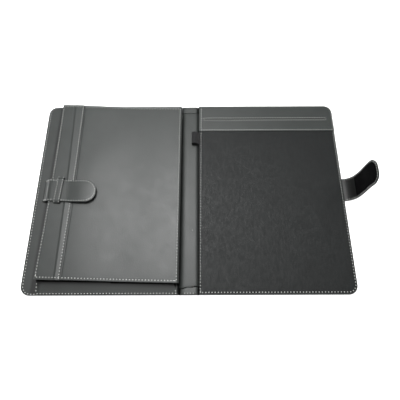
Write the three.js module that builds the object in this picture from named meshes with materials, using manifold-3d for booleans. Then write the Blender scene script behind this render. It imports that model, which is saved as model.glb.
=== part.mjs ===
// Open padfolio, in millimetres, +Z up.
// Origin: underside of the spine, at its middle. +X right, +Y towards the top edge.
import * as THREE from 'three';
import Module from 'manifold-3d';

const wasm = await Module();
wasm.setup();

// Driving dimensions.
const HALF_WIDTH = 255;         // spine middle to the outer edge of a cover
const HALF_HEIGHT = 167.5;      // middle to the top or bottom edge
const CORNER_RADIUS = 15;       // outer corners of the covers
const SPINE_HALF = 13;          // spine middle to a fold line
const SKIN = 0.9;               // outer leather
const FOAM = 1.0;               // soft padding under the leather
const BOARD = 1.8;              // stiff board
const LIP = 0.7;                // leather turned in over the board
const LIP_WIDTH = 14;
const LINING = 0.7;             // sheet that covers the inside of a cover
const EDGE_ROUND = 1.2;         // rounding of the outer leather's edge
const FOLD_GAP = 0.3;           // gap between pieces on the two sides of a fold
const FIT = 0.2;                // side clearance of inlaid sheets
const SEAT = 0.3;               // clearance of pieces that lie on a sloped face
const STACK_GAP = 2.8;          // fold line to the layers of a cover
const STACK_START = SPINE_HALF + STACK_GAP;
const BOARD_START = STACK_START + 2 * FIT;
const LEFT_LINING_INSET = 2.0;
const RIGHT_LINING_INSET = 3.8;

const PANEL = 1.0;              // front panel of the pocket
const PANEL_RISE = 9.9;         // underside of the panel's flat part above the lining
const PANEL_DIP = 1.8;          // how far the panel sags between its sides
const PANEL_RIGHT_DROP = 0.8;   // how much lower the spine side lies than the mouth
// The panel lies slightly turned, so each margin has two values.
const MOUTH_MARGIN = [25.5, 30.5];      // outer edge to the mouth, low end and high end
const SPINE_MARGIN = [5.3, 4.4];        // fold line to the panel, low end and high end
const PANEL_FOOT_MARGIN = [22.7, 16.9]; // bottom edge to the panel, mouth and spine side
const PANEL_HEAD_MARGIN = [6.5, 10.5];  // top edge to the panel, mouth and spine side
const PANEL_LEFT_X = MOUTH_MARGIN.map((gap) => gap - HALF_WIDTH);
const PANEL_RIGHT_X = SPINE_MARGIN.map((gap) => -SPINE_HALF - gap);
const PANEL_BOTTOM_Y = PANEL_FOOT_MARGIN.map((gap) => gap - HALF_HEIGHT);
const PANEL_TOP_Y = PANEL_HEAD_MARGIN.map((gap) => HALF_HEIGHT - gap);
const FLAT_SHARE = 0.21;        // share of the panel's width that is flat, at the mouth
const BAND = 0.8;               // facing band along the mouth
const BAND_WIDTH = 38.5;
const GUSSET = 0.8;
const GUSSET_RAIL_Y = HALF_HEIGHT - 1.3;
const GUSSET_MARGIN = 26;       // outer edge to the strip's left end
const GUSSET_LEFT_X = GUSSET_MARGIN - HALF_WIDTH;
const GUSSET_FOLD_OUT = 8;      // panel's corner to the left end of the inner fold
const GUSSET_FOLD_IN = 13.5;    // panel edge to the inner fold
const GUSSET_FOLD_RISE = 4.2;   // inner fold above the lining

const TONGUE_LAYER = 0.95;
const TONGUE_HALF = 19;
const TONGUE_MARGIN = 14.5;     // outer edge to the tongue's sewn end
const TONGUE_LENGTH = 89.5;
const TONGUE_SEWN_X = TONGUE_MARGIN - HALF_WIDTH;
const TONGUE_TIP_X = TONGUE_SEWN_X + TONGUE_LENGTH;
const TONGUE_FLAT = 30;         // mouth to where the tongue starts to lift
const TONGUE_SEWN_Y = 1.3;
const TONGUE_SKEW = -0.088;     // sideways drift per millimetre of length
const TONGUE_FOOT = 6.5;        // flat sewn end
const TONGUE_TIP_LIFT = 2.2;
const KEEPER = 1.2;
const KEEPER_WIDTH = 11;
const KEEPER_SET_IN = 29;       // tongue's sewn end to the keeper's middle
const KEEPER_X = TONGUE_SEWN_X + KEEPER_SET_IN;
const KEEPER_ROOM = 1.4;        // tongue's side to the keeper's inner side
const KEEPER_BEVEL = 1.2;
const KEEPER_SHOULDER = 0.6;
const KEEPER_FOOT = 3.2;

const SPINE_BOARD_HALF = 7;
const SPINE_SHEET_HALF = 11.5;
const HEM = 12;                 // outer leather turned in at the spine's ends
const GUTTER_HALF = HALF_HEIGHT - HEM;
const BOW = [[0, 3.9], [4, 3.6], [7.5, 3.1], [10, 2.1], [11.5, 1.7]];

const PAD_BAND = 1.1;
const PAD_BAND_HEIGHT = 53.1;
const PAD_BAND_BOTTOM = HALF_HEIGHT - PAD_BAND_HEIGHT;
const PAD_BAND_INSET = 0.6;
const SLIT_MARGINS = [28.3, 13, 15.5]; // from the top edge, the fold line and the outer edge
const SLIT_Y = HALF_HEIGHT - SLIT_MARGINS[0];
const SLIT_X = [SPINE_HALF + SLIT_MARGINS[1], HALF_WIDTH - SLIT_MARGINS[2]];
const SLIT_WIDTH = 1.2;

const LOOP_WIDTH = 22.8;
const LOOP_DROP = 57.1;         // top edge to the pen loop
const LOOP_Y = [HALF_HEIGHT - LOOP_DROP - LOOP_WIDTH, HALF_HEIGHT - LOOP_DROP];
const LOOP_TAB = 8;

const STRAP_LAYER = 0.85;
const STRAP_HALF = 19.9;
const STRAP_LENGTH = 94;
const STRAP_TIP_ROUND = 15;
const STRAP_MID_Y = 3.0;
const STRAP_SKEW = -0.038;
const STRAP_OUT = 1.15;         // outer edge to the strap's root
const STRAP_START = [HALF_WIDTH + STRAP_OUT, 2.05];
const STRAP_CREASE = 30;        // root to the second fold, along the strap
const STRAP_TURN = [[0, 16], [12, 54], [24, 82], [40, 88], [60, 93], [85, 80], [115, 49]];
const HOOK_INSET = 4.2;
const HOOK_START = 35;
const HOOK_PAD = 0.9;
const ANCHOR_LENGTH = 19;
const LOOP_PAD = 0.6;
const LOOP_PAD_LENGTH = 48;
const LOOP_PAD_EDGE = 8;        // outer edge to the loop pad
const LOOP_PAD_X = [LOOP_PAD_EDGE - HALF_WIDTH, LOOP_PAD_EDGE + LOOP_PAD_LENGTH - HALF_WIDTH];
const LOOP_PAD_MARGIN = 2.0;

// Levels of the stack.
const FOAM_Z = SKIN;
const BOARD_Z = FOAM_Z + FOAM;
const LIP_Z = BOARD_Z + BOARD;
const LINING_Z = LIP_Z + LIP;
const TOP_Z = LINING_Z + LINING;
const PANEL_Z = TOP_Z + PANEL_RISE;
const BAND_Z = PANEL_Z + PANEL;
const BAND_TOP_Z = BAND_Z + BAND;

// Colours.
const leather = { color: 0x3b3f40, roughness: 0.55, metalness: 0 };
const dullLeather = { color: 0x35393a, roughness: 0.62, metalness: 0 };
const fabric = { color: 0x2e3233, roughness: 0.9, metalness: 0 };
const greyBoard = { color: 0x8a8578, roughness: 0.95, metalness: 0 };
const whiteFoam = { color: 0xd8d8d2, roughness: 0.95, metalness: 0 };
const blackWeb = { color: 0x141516, roughness: 0.95, metalness: 0 };

const group = new THREE.Group();
group.name = 'padfolio';

function add(name, geometry, look) {
  const mesh = new THREE.Mesh(geometry, new THREE.MeshStandardMaterial(look));
  mesh.name = name;
  group.add(mesh);
}

// Solids.
function toManifold(geometry) {
  const bare = geometry.clone();
  bare.deleteAttribute('normal');
  bare.deleteAttribute('uv');
  const merged = mergeClose(bare);
  const mesh = new wasm.Mesh({
    numProp: 3,
    vertProperties: merged.positions,
    triVerts: merged.triangles,
  });
  return new wasm.Manifold(mesh);
}

function mergeClose(geometry) {
  const source = geometry.attributes.position;
  const order = geometry.index ? Array.from(geometry.index.array) : null;
  const count = order ? order.length : source.count;
  const known = new Map();
  const positions = [];
  const corners = [];
  for (let i = 0; i < count; i += 1) {
    const at = order ? order[i] : i;
    const point = [source.getX(at), source.getY(at), source.getZ(at)];
    const key = point.map((value) => Math.round(value * 1e4)).join(',');
    if (!known.has(key)) {
      known.set(key, positions.length / 3);
      positions.push(...point);
    }
    corners.push(known.get(key));
  }
  const triangles = [];
  for (let i = 0; i < corners.length; i += 3) {
    const [a, b, c] = corners.slice(i, i + 3);
    if (a !== b && b !== c && a !== c) {
      triangles.push(a, b, c);
    }
  }
  return {
    positions: new Float32Array(positions),
    triangles: new Uint32Array(triangles),
  };
}

function toGeometry(solid) {
  const mesh = solid.getMesh();
  const geometry = new THREE.BufferGeometry();
  const positions = new Float32Array(mesh.vertProperties);
  geometry.setAttribute('position', new THREE.BufferAttribute(positions, 3));
  geometry.setIndex(new THREE.BufferAttribute(new Uint32Array(mesh.triVerts), 1));
  const flat = geometry.toNonIndexed();
  flat.computeVertexNormals();
  return flat;
}

function cut(geometry, ...tools) {
  let solid = toManifold(geometry);
  for (const tool of tools) {
    solid = solid.subtract(toManifold(tool));
  }
  return toGeometry(solid);
}

function join(geometry, ...others) {
  let solid = toManifold(geometry);
  for (const other of others) {
    solid = solid.add(toManifold(other));
  }
  return toGeometry(solid);
}

function block(x, y, z) {
  const geometry = new THREE.BoxGeometry(x[1] - x[0], y[1] - y[0], z[1] - z[0]);
  geometry.translate((x[0] + x[1]) / 2, (y[0] + y[1]) / 2, (z[0] + z[1]) / 2);
  return geometry;
}

// Rectangle whose four corners have their own radii: low-left, low-right, high-right, high-left.
function sheetShape(x, y, radii) {
  const shape = new THREE.Shape();
  const [a, b, c, d] = radii;
  shape.moveTo(x[0] + a, y[0]);
  shape.lineTo(x[1] - b, y[0]);
  if (b > 0) {
    shape.absarc(x[1] - b, y[0] + b, b, -Math.PI / 2, 0, false);
  }
  shape.lineTo(x[1], y[1] - c);
  if (c > 0) {
    shape.absarc(x[1] - c, y[1] - c, c, 0, Math.PI / 2, false);
  }
  shape.lineTo(x[0] + d, y[1]);
  if (d > 0) {
    shape.absarc(x[0] + d, y[1] - d, d, Math.PI / 2, Math.PI, false);
  }
  shape.lineTo(x[0], y[0] + a);
  if (a > 0) {
    shape.absarc(x[0] + a, y[0] + a, a, Math.PI, 1.5 * Math.PI, false);
  }
  return shape;
}

function slab(shape, z, round = 0) {
  const geometry = new THREE.ExtrudeGeometry(shape, {
    depth: z[1] - z[0] - 2 * round,
    curveSegments: 8,
    bevelEnabled: round > 0,
    bevelThickness: round,
    bevelSize: round,
    bevelOffset: -round,
    bevelSegments: 3,
  });
  geometry.translate(0, 0, z[0] + round);
  return geometry;
}

function mirrored(geometry) {
  const flipped = geometry.clone().applyMatrix4(new THREE.Matrix4().makeScale(-1, 1, 1));
  const flat = flipped.index ? flipped.toNonIndexed() : flipped;
  const position = flat.attributes.position;
  for (let i = 0; i < position.count; i += 3) {
    const b = new THREE.Vector3().fromBufferAttribute(position, i + 1);
    const c = new THREE.Vector3().fromBufferAttribute(position, i + 2);
    position.setXYZ(i + 1, c.x, c.y, c.z);
    position.setXYZ(i + 2, b.x, b.y, b.z);
  }
  flat.computeVertexNormals();
  return flat;
}

// Closed solid through rings of points; every ring has the same number of points.
// Each ring runs anticlockwise as seen from beyond the last ring.
function loft(rings, capOrder) {
  const positions = rings.flat(2);
  const size = rings[0].length;
  const index = [];
  for (let r = 0; r + 1 < rings.length; r += 1) {
    for (let i = 0; i < size; i += 1) {
      const a = r * size + i;
      const b = r * size + ((i + 1) % size);
      index.push(a, b, b + size, a, b + size, a + size);
    }
  }
  const last = (rings.length - 1) * size;
  for (const [a, b, c] of capOrder) {
    index.push(c, b, a);
    index.push(last + a, last + b, last + c);
  }
  const geometry = new THREE.BufferGeometry();
  geometry.setAttribute('position', new THREE.Float32BufferAttribute(positions, 3));
  geometry.setIndex(index);
  const flat = geometry.toNonIndexed();
  flat.computeVertexNormals();
  return flat;
}

const QUAD = [[0, 1, 2], [0, 2, 3]];

// Ribbon along a path in the XZ plane; its sides lie at middle - half and middle + half in Y.
function ribbon(path, low, high, middle, half) {
  const rings = path.map((point, i) => {
    const before = path[Math.max(i - 1, 0)];
    const after = path[Math.min(i + 1, path.length - 1)];
    const back = new THREE.Vector2(point.x - before.x, point.z - before.z).normalize();
    const ahead = new THREE.Vector2(after.x - point.x, after.z - point.z).normalize();
    const along = back.clone().add(ahead).normalize();
    const reach = i === 0 || i === path.length - 1 ? 1 : Math.max(along.dot(ahead), 0.5);
    const nx = -along.y / reach;
    const nz = along.x / reach;
    const y0 = middle(point) - half(point);
    const y1 = middle(point) + half(point);
    return [
      [point.x + nx * low, y0, point.z + nz * low],
      [point.x + nx * low, y1, point.z + nz * low],
      [point.x + nx * high, y1, point.z + nz * high],
      [point.x + nx * high, y0, point.z + nz * high],
    ];
  });
  return loft(rings, QUAD);
}

// Half width of a ribbon that ends in a rounded tip.
function tipHalf(run, length, half, round) {
  const beyond = Math.min(Math.max(run - (length - round), 0), round);
  return half - round + Math.sqrt(round * round - beyond * beyond) + (beyond > 0 ? 0.01 : 0);
}

function spread(from, to, step) {
  const count = Math.max(Math.round(Math.abs(to - from) / step), 1);
  return Array.from({ length: count + 1 }, (_, i) => from + ((to - from) * i) / count);
}

function mix(pair, share) {
  return pair[0] + (pair[1] - pair[0]) * share;
}

// Covers.
const outerRadii = [0, CORNER_RADIUS, CORNER_RADIUS, 0];

function outline(start, inset) {
  const radius = Math.max(CORNER_RADIUS - inset, 1);
  const x = [start, HALF_WIDTH - inset];
  const y = [-HALF_HEIGHT + inset, HALF_HEIGHT - inset];
  return sheetShape(x, y, outerRadii.map((value) => (value ? radius : 0)));
}

function coverSkin() {
  const body = slab(outline(SPINE_HALF - 6, 0), [0, LINING_Z], EDGE_ROUND);
  const room = slab(outline(SPINE_HALF - 8, SKIN), [FOAM_Z, LIP_Z]);
  const mouth = slab(outline(SPINE_HALF - 8, LIP_WIDTH), [BOARD_Z, LINING_Z + 1]);
  const hingeSide = block([0, SPINE_HALF + FOLD_GAP / 2], [-HALF_WIDTH, HALF_WIDTH], [-1, HALF_HEIGHT]);
  const fold = block([0, STACK_START], [-HALF_WIDTH, HALF_WIDTH], [FOAM_Z, HALF_HEIGHT]);
  return cut(body, room, mouth, hingeSide, fold);
}

function coverLining(inset) {
  const sheet = slab(outline(STACK_START, inset), [LINING_Z, TOP_Z]);
  const fill = slab(outline(STACK_START, LIP_WIDTH + FIT), [LIP_Z, LINING_Z]);
  return join(sheet, fill);
}

const foamSheet = slab(outline(BOARD_START, SKIN + FIT), [FOAM_Z, BOARD_Z]);
const boardSheet = slab(outline(BOARD_START, SKIN + FIT), [BOARD_Z, LIP_Z]);

const strapLow = STRAP_MID_Y - STRAP_HALF;
const strapHigh = STRAP_MID_Y + STRAP_HALF;
const anchorX = [HALF_WIDTH + 0.6 - ANCHOR_LENGTH, HALF_WIDTH + 0.6];
const anchorRoom = block(
  [anchorX[0] - FIT, HALF_WIDTH + 5],
  [strapLow - FIT, strapHigh + FIT],
  [FOAM_Z, BOARD_Z],
);
const loopPadShape = sheetShape(
  LOOP_PAD_X,
  [strapLow + LOOP_PAD_MARGIN, strapHigh - LOOP_PAD_MARGIN],
  [3, 3, 3, 3],
);
const loopPadRoom = block(
  [LOOP_PAD_X[0] - FIT, LOOP_PAD_X[1] + FIT],
  [strapLow + LOOP_PAD_MARGIN - FIT, strapHigh - LOOP_PAD_MARGIN + FIT],
  [-1, LOOP_PAD],
);

add('back_cover_skin', cut(coverSkin(), anchorRoom), leather);
add('back_cover_foam', cut(foamSheet, anchorRoom), whiteFoam);
add('back_cover_board', boardSheet, greyBoard);
const loopTabRoom = block(
  [STACK_START - 1, STACK_START + LOOP_TAB + FIT],
  [LOOP_Y[0] - FIT, LOOP_Y[1] + FIT],
  [LIP_Z - 1, LINING_Z],
);
add('back_cover_lining', cut(coverLining(RIGHT_LINING_INSET), loopTabRoom), fabric);

add('front_cover_skin', cut(mirrored(coverSkin()), loopPadRoom), leather);
add('front_cover_foam', mirrored(foamSheet), whiteFoam);
add('front_cover_board', mirrored(boardSheet), greyBoard);
add('front_cover_lining', mirrored(coverLining(LEFT_LINING_INSET)), dullLeather);
add('front_cover_loop_pad', slab(loopPadShape, [0, LOOP_PAD]), blackWeb);

// Spine.
const bowTop = [...BOW].reverse().map(([x, z]) => [-x, z]).concat(BOW.slice(1));

function bowShape(lower, floor) {
  const shape = new THREE.Shape();
  const top = bowTop.map(([x, z]) => [x, z - lower]);
  shape.moveTo(-SPINE_SHEET_HALF, SKIN);
  if (floor) {
    shape.lineTo(SPINE_SHEET_HALF, SKIN);
  } else {
    const step = SPINE_BOARD_HALF + FIT;
    shape.lineTo(-step, SKIN);
    shape.lineTo(-step, SKIN + BOARD);
    shape.lineTo(step, SKIN + BOARD);
    shape.lineTo(step, SKIN);
    shape.lineTo(SPINE_SHEET_HALF, SKIN);
  }
  for (const [x, z] of top.reverse()) {
    shape.lineTo(x, z);
  }
  return shape;
}

// The section is drawn in X and Z and runs along Y.
function alongY(shape, y) {
  const length = y[1] - y[0];
  const geometry = new THREE.ExtrudeGeometry(shape, {
    depth: length,
    bevelEnabled: false,
    curveSegments: 8,
  });
  geometry.rotateX(Math.PI / 2);
  geometry.translate(0, y[1], 0);
  return geometry;
}

const spineX = SPINE_HALF - FOLD_GAP / 2;
const spineFloor = block([-spineX, spineX], [-HALF_HEIGHT, HALF_HEIGHT], [0, SKIN]);
const hemStart = GUTTER_HALF + SEAT;
const lowHem = alongY(bowShape(0.2, true), [-HALF_HEIGHT, -hemStart]);
const highHem = alongY(bowShape(0.2, true), [hemStart, HALF_HEIGHT]);
add('spine_skin', join(spineFloor, lowHem, highHem), leather);
add(
  'spine_board',
  block(
    [-SPINE_BOARD_HALF, SPINE_BOARD_HALF],
    [-GUTTER_HALF, GUTTER_HALF],
    [SKIN, SKIN + BOARD],
  ),
  greyBoard,
);
add('gutter_lining', alongY(bowShape(0, false), [-GUTTER_HALF, GUTTER_HALF]), leather);

// Document pocket on the front cover.
// Share 0 is the mouth, share 1 the spine side.
function panelLevel(share) {
  if (share <= FLAT_SHARE) {
    return PANEL_Z;
  }
  const on = (share - FLAT_SHARE) / (1 - FLAT_SHARE);
  const sag = PANEL_DIP * Math.sin(Math.PI * on) ** 2;
  return PANEL_Z - sag - PANEL_RIGHT_DROP * on * on;
}

function panelPoint(share, up) {
  const x = mix([mix(PANEL_LEFT_X, up), mix(PANEL_RIGHT_X, up)], share);
  const y = mix([mix(PANEL_BOTTOM_Y, share), mix(PANEL_TOP_Y, share)], up);
  return [x, y];
}

function panelSheet(shares, base, thick) {
  const rings = shares.map((share) => {
    const low = panelPoint(share, 0);
    const high = panelPoint(share, 1);
    const z = base(share);
    return [[...low, z], [...high, z], [...high, z + thick], [...low, z + thick]];
  });
  return loft(rings, QUAD);
}

const panelWidth = PANEL_RIGHT_X[0] - PANEL_LEFT_X[0];
const panelShares = [0, ...spread(FLAT_SHARE, 1, 0.06)];
add('pocket_front_panel', panelSheet(panelShares, panelLevel, PANEL), leather);
add('pocket_band', panelSheet([0, BAND_WIDTH / panelWidth], () => BAND_Z, BAND), leather);

// One strip folded in a V runs along the bottom, the spine side and the top.
function gussetRing(rail, fold, edge, level) {
  const foldZ = TOP_Z + GUSSET_FOLD_RISE;
  const inner = [mix([fold[0], rail[0]], 0.1), mix([fold[1], rail[1]], 0.1)];
  const upper = level - SEAT;
  return [
    [...rail, TOP_Z + SEAT],
    [...fold, foldZ],
    [...edge, upper],
    [...edge, upper - GUSSET],
    [...inner, foldZ],
    [...rail, TOP_Z + SEAT + GUSSET],
  ];
}

const railRight = -(STACK_START + 0.6);
const gussetRings = [];
const acrossShares = [0.004, ...panelShares.slice(1, -1)];
for (const share of acrossShares) {
  const edge = panelPoint(share, 0);
  const x = mix([GUSSET_LEFT_X, railRight], share);
  const fold = [mix([GUSSET_LEFT_X, edge[0] - GUSSET_FOLD_OUT], share), edge[1] + GUSSET_FOLD_IN];
  gussetRings.push(gussetRing([x, -GUSSET_RAIL_Y], fold, edge, panelLevel(share)));
}
for (const up of [0, 0.25, 0.5, 0.75, 1]) {
  const edge = panelPoint(1, up);
  const inward = mix([GUSSET_FOLD_IN, -GUSSET_FOLD_IN], up);
  const fold = [edge[0] - GUSSET_FOLD_IN, edge[1] + inward];
  const rail = [railRight, mix([-GUSSET_RAIL_Y, GUSSET_RAIL_Y], up)];
  gussetRings.push(gussetRing(rail, fold, edge, panelLevel(1)));
}
for (const share of [...acrossShares].reverse()) {
  const edge = panelPoint(share, 1);
  const x = mix([GUSSET_LEFT_X, railRight], share);
  const fold = [mix([GUSSET_LEFT_X, edge[0] - GUSSET_FOLD_OUT], share), edge[1] - GUSSET_FOLD_IN];
  gussetRings.push(gussetRing([x, GUSSET_RAIL_Y], fold, edge, panelLevel(share)));
}
const GUSSET_CAP = [[0, 1, 4], [0, 4, 5], [1, 2, 3], [1, 3, 4]];
add('pocket_gusset', loft(gussetRings, GUSSET_CAP), dullLeather);

// Pocket tongue and its keeper.
const tongueZ = BAND_TOP_Z + SEAT;
const mouthX = panelPoint(0, 0.45)[0];
const tonguePath = [
  { x: TONGUE_SEWN_X, z: TOP_Z },
  { x: TONGUE_SEWN_X + TONGUE_FOOT, z: TOP_Z },
  { x: mouthX - 5.2, z: TOP_Z + 2.2 },
  { x: mouthX - 3.4, z: tongueZ - 2.0 },
  { x: mouthX - 1.2, z: tongueZ },
  { x: mouthX + TONGUE_FLAT, z: tongueZ },
];
const tipLength = TONGUE_TIP_X - (mouthX + TONGUE_FLAT);
for (const run of spread(0.22, 1, 0.06)) {
  tonguePath.push({
    x: mouthX + TONGUE_FLAT + tipLength * run,
    z: tongueZ + TONGUE_TIP_LIFT * Math.sin(Math.PI * Math.min(run, 0.9)) ** 2,
  });
}
const tongueMiddle = (point) => TONGUE_SEWN_Y + TONGUE_SKEW * (point.x - TONGUE_SEWN_X);
const tongueHalf = (point) => (
  tipHalf(point.x - TONGUE_SEWN_X, TONGUE_LENGTH, TONGUE_HALF, TONGUE_HALF - 1.5)
);
const backingTop = TONGUE_LAYER;
const faceLow = backingTop + 0.1;
add('tongue_backing', ribbon(tonguePath, 0, backingTop, tongueMiddle, tongueHalf), dullLeather);
add(
  'tongue_face',
  ribbon(tonguePath, faceLow, faceLow + TONGUE_LAYER, tongueMiddle, tongueHalf),
  leather,
);

const keeperY = TONGUE_SEWN_Y + TONGUE_SKEW * (KEEPER_X - TONGUE_SEWN_X);
const keeperHalf = TONGUE_HALF + KEEPER_ROOM;
const keeperHigh = tongueZ + faceLow + TONGUE_LAYER + SEAT;
const keeperShape = new THREE.Shape();
const keeperOuter = keeperHalf + KEEPER;
keeperShape.moveTo(-keeperOuter - KEEPER_FOOT, BAND_TOP_Z);
keeperShape.lineTo(-keeperHalf, BAND_TOP_Z);
keeperShape.lineTo(-keeperHalf, keeperHigh - KEEPER_SHOULDER);
keeperShape.lineTo(-keeperHalf + KEEPER_BEVEL, keeperHigh);
keeperShape.lineTo(keeperHalf - KEEPER_BEVEL, keeperHigh);
keeperShape.lineTo(keeperHalf, keeperHigh - KEEPER_SHOULDER);
keeperShape.lineTo(keeperHalf, BAND_TOP_Z);
keeperShape.lineTo(keeperOuter + KEEPER_FOOT, BAND_TOP_Z);
keeperShape.lineTo(keeperOuter + KEEPER_FOOT, BAND_TOP_Z + KEEPER);
keeperShape.lineTo(keeperOuter, BAND_TOP_Z + KEEPER);
keeperShape.lineTo(keeperOuter, keeperHigh);
keeperShape.lineTo(keeperOuter - KEEPER_BEVEL, keeperHigh + KEEPER);
keeperShape.lineTo(-keeperOuter + KEEPER_BEVEL, keeperHigh + KEEPER);
keeperShape.lineTo(-keeperOuter, keeperHigh);
keeperShape.lineTo(-keeperOuter, BAND_TOP_Z + KEEPER);
keeperShape.lineTo(-keeperOuter - KEEPER_FOOT, BAND_TOP_Z + KEEPER);
const keeper = alongY(keeperShape, [-KEEPER_WIDTH / 2, KEEPER_WIDTH / 2]);
keeper.rotateZ(Math.PI / 2 + Math.atan(TONGUE_SKEW));
keeper.translate(KEEPER_X, keeperY, 0);
add('tongue_keeper', keeper, leather);

// Writing pad side.
const bandRight = HALF_WIDTH - PAD_BAND_INSET;
const bandTop = HALF_HEIGHT - PAD_BAND_INSET;
const padBandShape = sheetShape(
  [STACK_START, bandRight],
  [PAD_BAND_BOTTOM, bandTop],
  [0, 3, CORNER_RADIUS - PAD_BAND_INSET, 0],
);
const slit = slab(
  sheetShape(
    SLIT_X,
    [SLIT_Y - SLIT_WIDTH / 2, SLIT_Y + SLIT_WIDTH / 2],
    [SLIT_WIDTH / 2, SLIT_WIDTH / 2, SLIT_WIDTH / 2, SLIT_WIDTH / 2],
  ),
  [TOP_Z - 1, TOP_Z + PAD_BAND + 1],
);
add('pad_band', cut(slab(padBandShape, [TOP_Z, TOP_Z + PAD_BAND]), slit), leather);

// Points of the loop's section: distance out from the lining's edge, and level.
const loopOuter = [
  [0.1, LIP_Z + 0.05], [3.8, 3.85], [7.8, 4.6], [10.8, 5.0], [12.6, 6.0], [13.2, 7.8],
  [12.6, 10.2], [10.6, 12.0], [7.3, 12.6], [3.8, 11.2], [1.2, 7.8], [0.1, LINING_Z - 0.05],
];
const loopInner = [
  [2.6, 7.6], [4.4, 10.3], [6.9, 11.5], [9.4, 11.4], [11.2, 10.5], [12.1, 8.6], [11.6, 7.0],
  [9.6, 6.0], [6.2, 5.5], [3.2, 5.6],
];
const loopPoint = ([out, z]) => new THREE.Vector2(STACK_START - out, z);
const loopShape = new THREE.Shape(loopOuter.map(loopPoint));
loopShape.holes.push(new THREE.Path(loopInner.map(loopPoint)));
const loopTab = block(
  [STACK_START - 0.9, STACK_START + LOOP_TAB],
  LOOP_Y,
  [LIP_Z + 0.05, LINING_Z - 0.05],
);
add('pen_loop', join(alongY(loopShape, LOOP_Y), loopTab), blackWeb);

// Closure strap.
function strapAngle(run) {
  for (let i = 0; i + 1 < STRAP_TURN.length; i += 1) {
    const [from, low] = STRAP_TURN[i];
    const [to, high] = STRAP_TURN[i + 1];
    if (run <= to) {
      return THREE.MathUtils.degToRad(low + ((high - low) * (run - from)) / (to - from));
    }
  }
  return THREE.MathUtils.degToRad(STRAP_TURN[STRAP_TURN.length - 1][1]);
}

const strapCurve = [{ run: 0, x: STRAP_START[0], z: STRAP_START[1] }];
const STRAP_STEP = 0.5;
for (let run = STRAP_STEP; run <= STRAP_LENGTH + 1e-9; run += STRAP_STEP) {
  const before = strapCurve[strapCurve.length - 1];
  const angle = strapAngle(run - STRAP_STEP / 2);
  strapCurve.push({
    run,
    x: before.x + STRAP_STEP * Math.cos(angle),
    z: before.z + STRAP_STEP * Math.sin(angle),
  });
}

function strapPiece(start, end, inset, low, high) {
  const length = STRAP_LENGTH - inset;
  const coarse = spread(start, Math.min(end, length - STRAP_TIP_ROUND), 4);
  const fine = end < length ? [] : [0.35, 0.6, 0.78, 0.9, 0.97, 1].map(
    (share) => length - STRAP_TIP_ROUND + STRAP_TIP_ROUND * share,
  );
  const runs = [...coarse, ...fine];
  const path = runs.map((run) => strapCurve[Math.round(run / STRAP_STEP)]);
  const middle = (point) => STRAP_MID_Y + STRAP_SKEW * point.run;
  const half = (point) => tipHalf(point.run, length, STRAP_HALF - inset, STRAP_TIP_ROUND);
  return ribbon(path, low, high, middle, half);
}

const flapStart = STRAP_CREASE + 0.5;
const baseEnd = STRAP_CREASE - 0.5;
const faceDepth = -STRAP_LAYER - 0.05;
const liningHeight = STRAP_LAYER + 0.05;
const hookLow = liningHeight + 0.1;
add('strap_base_face', strapPiece(0, baseEnd, 0, faceDepth, -0.05), leather);
add('strap_base_lining', strapPiece(0, baseEnd, 0, 0.05, liningHeight), leather);
add('strap_flap_face', strapPiece(flapStart, STRAP_LENGTH, 0, faceDepth, -0.05), leather);
add('strap_flap_lining', strapPiece(flapStart, STRAP_LENGTH, 0, 0.05, liningHeight), leather);
add(
  'strap_hook_pad',
  strapPiece(HOOK_START, STRAP_LENGTH - HOOK_INSET, HOOK_INSET, hookLow, hookLow + HOOK_PAD),
  blackWeb,
);
add(
  'strap_anchor',
  block(anchorX, [strapLow, strapHigh], [FOAM_Z + 0.05, BOARD_Z - 0.05]),
  leather,
);

export default group;
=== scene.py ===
import math

import bmesh
import bpy
from mathutils import Matrix, Vector, noise


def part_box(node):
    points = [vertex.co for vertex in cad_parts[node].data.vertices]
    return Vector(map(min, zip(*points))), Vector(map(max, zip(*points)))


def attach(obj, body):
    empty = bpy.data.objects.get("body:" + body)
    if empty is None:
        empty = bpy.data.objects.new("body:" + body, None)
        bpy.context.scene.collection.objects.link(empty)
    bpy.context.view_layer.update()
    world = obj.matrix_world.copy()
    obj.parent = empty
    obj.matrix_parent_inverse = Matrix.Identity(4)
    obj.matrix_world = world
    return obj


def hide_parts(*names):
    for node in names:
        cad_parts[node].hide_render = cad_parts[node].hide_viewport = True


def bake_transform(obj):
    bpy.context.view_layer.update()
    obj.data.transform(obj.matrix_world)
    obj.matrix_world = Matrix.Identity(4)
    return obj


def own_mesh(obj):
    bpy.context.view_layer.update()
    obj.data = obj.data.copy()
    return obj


bl_info = {
    "name": "Leather padfolio",
    "version": (1, 0, 0),
    "blender": (4, 5, 0),
    "location": "3D View > Sidebar > Padfolio",
    "description": "Dresses the frame of an open padfolio with leather, lining, elastic and seams",
    "category": "Object",
}

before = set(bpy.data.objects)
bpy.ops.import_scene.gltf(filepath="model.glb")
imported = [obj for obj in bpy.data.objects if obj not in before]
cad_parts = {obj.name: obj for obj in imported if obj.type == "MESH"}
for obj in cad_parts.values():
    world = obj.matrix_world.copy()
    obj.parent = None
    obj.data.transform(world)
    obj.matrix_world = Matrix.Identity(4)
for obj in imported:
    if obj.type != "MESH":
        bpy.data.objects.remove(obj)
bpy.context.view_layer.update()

SPINE, BACK, FRONT = "spine", "back_cover", "front_cover"
STRAP_BASE, STRAP_FLAP = "strap_base", "strap_flap"


def mm(value):
    """Millimetres as metres."""
    return value * 0.001


def box_of(node):
    """Low and high corner of a frame node, in millimetres."""
    return [tuple(1000.0 * value for value in corner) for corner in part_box(node)]


COVER_EDGE, COVER_TOP, RIM_LEVEL = box_of("back_cover_skin")[1]
LINING_LEVEL = box_of("back_cover_lining")[1][2]
PANEL_LEVEL = box_of("pocket_front_panel")[1][2]
BAND_LEVEL = box_of("pocket_band")[1][2]
LOOP_PAD = box_of("front_cover_loop_pad")
KEEPER = box_of("tongue_keeper")
PEN_LOOP = box_of("pen_loop")


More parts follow.
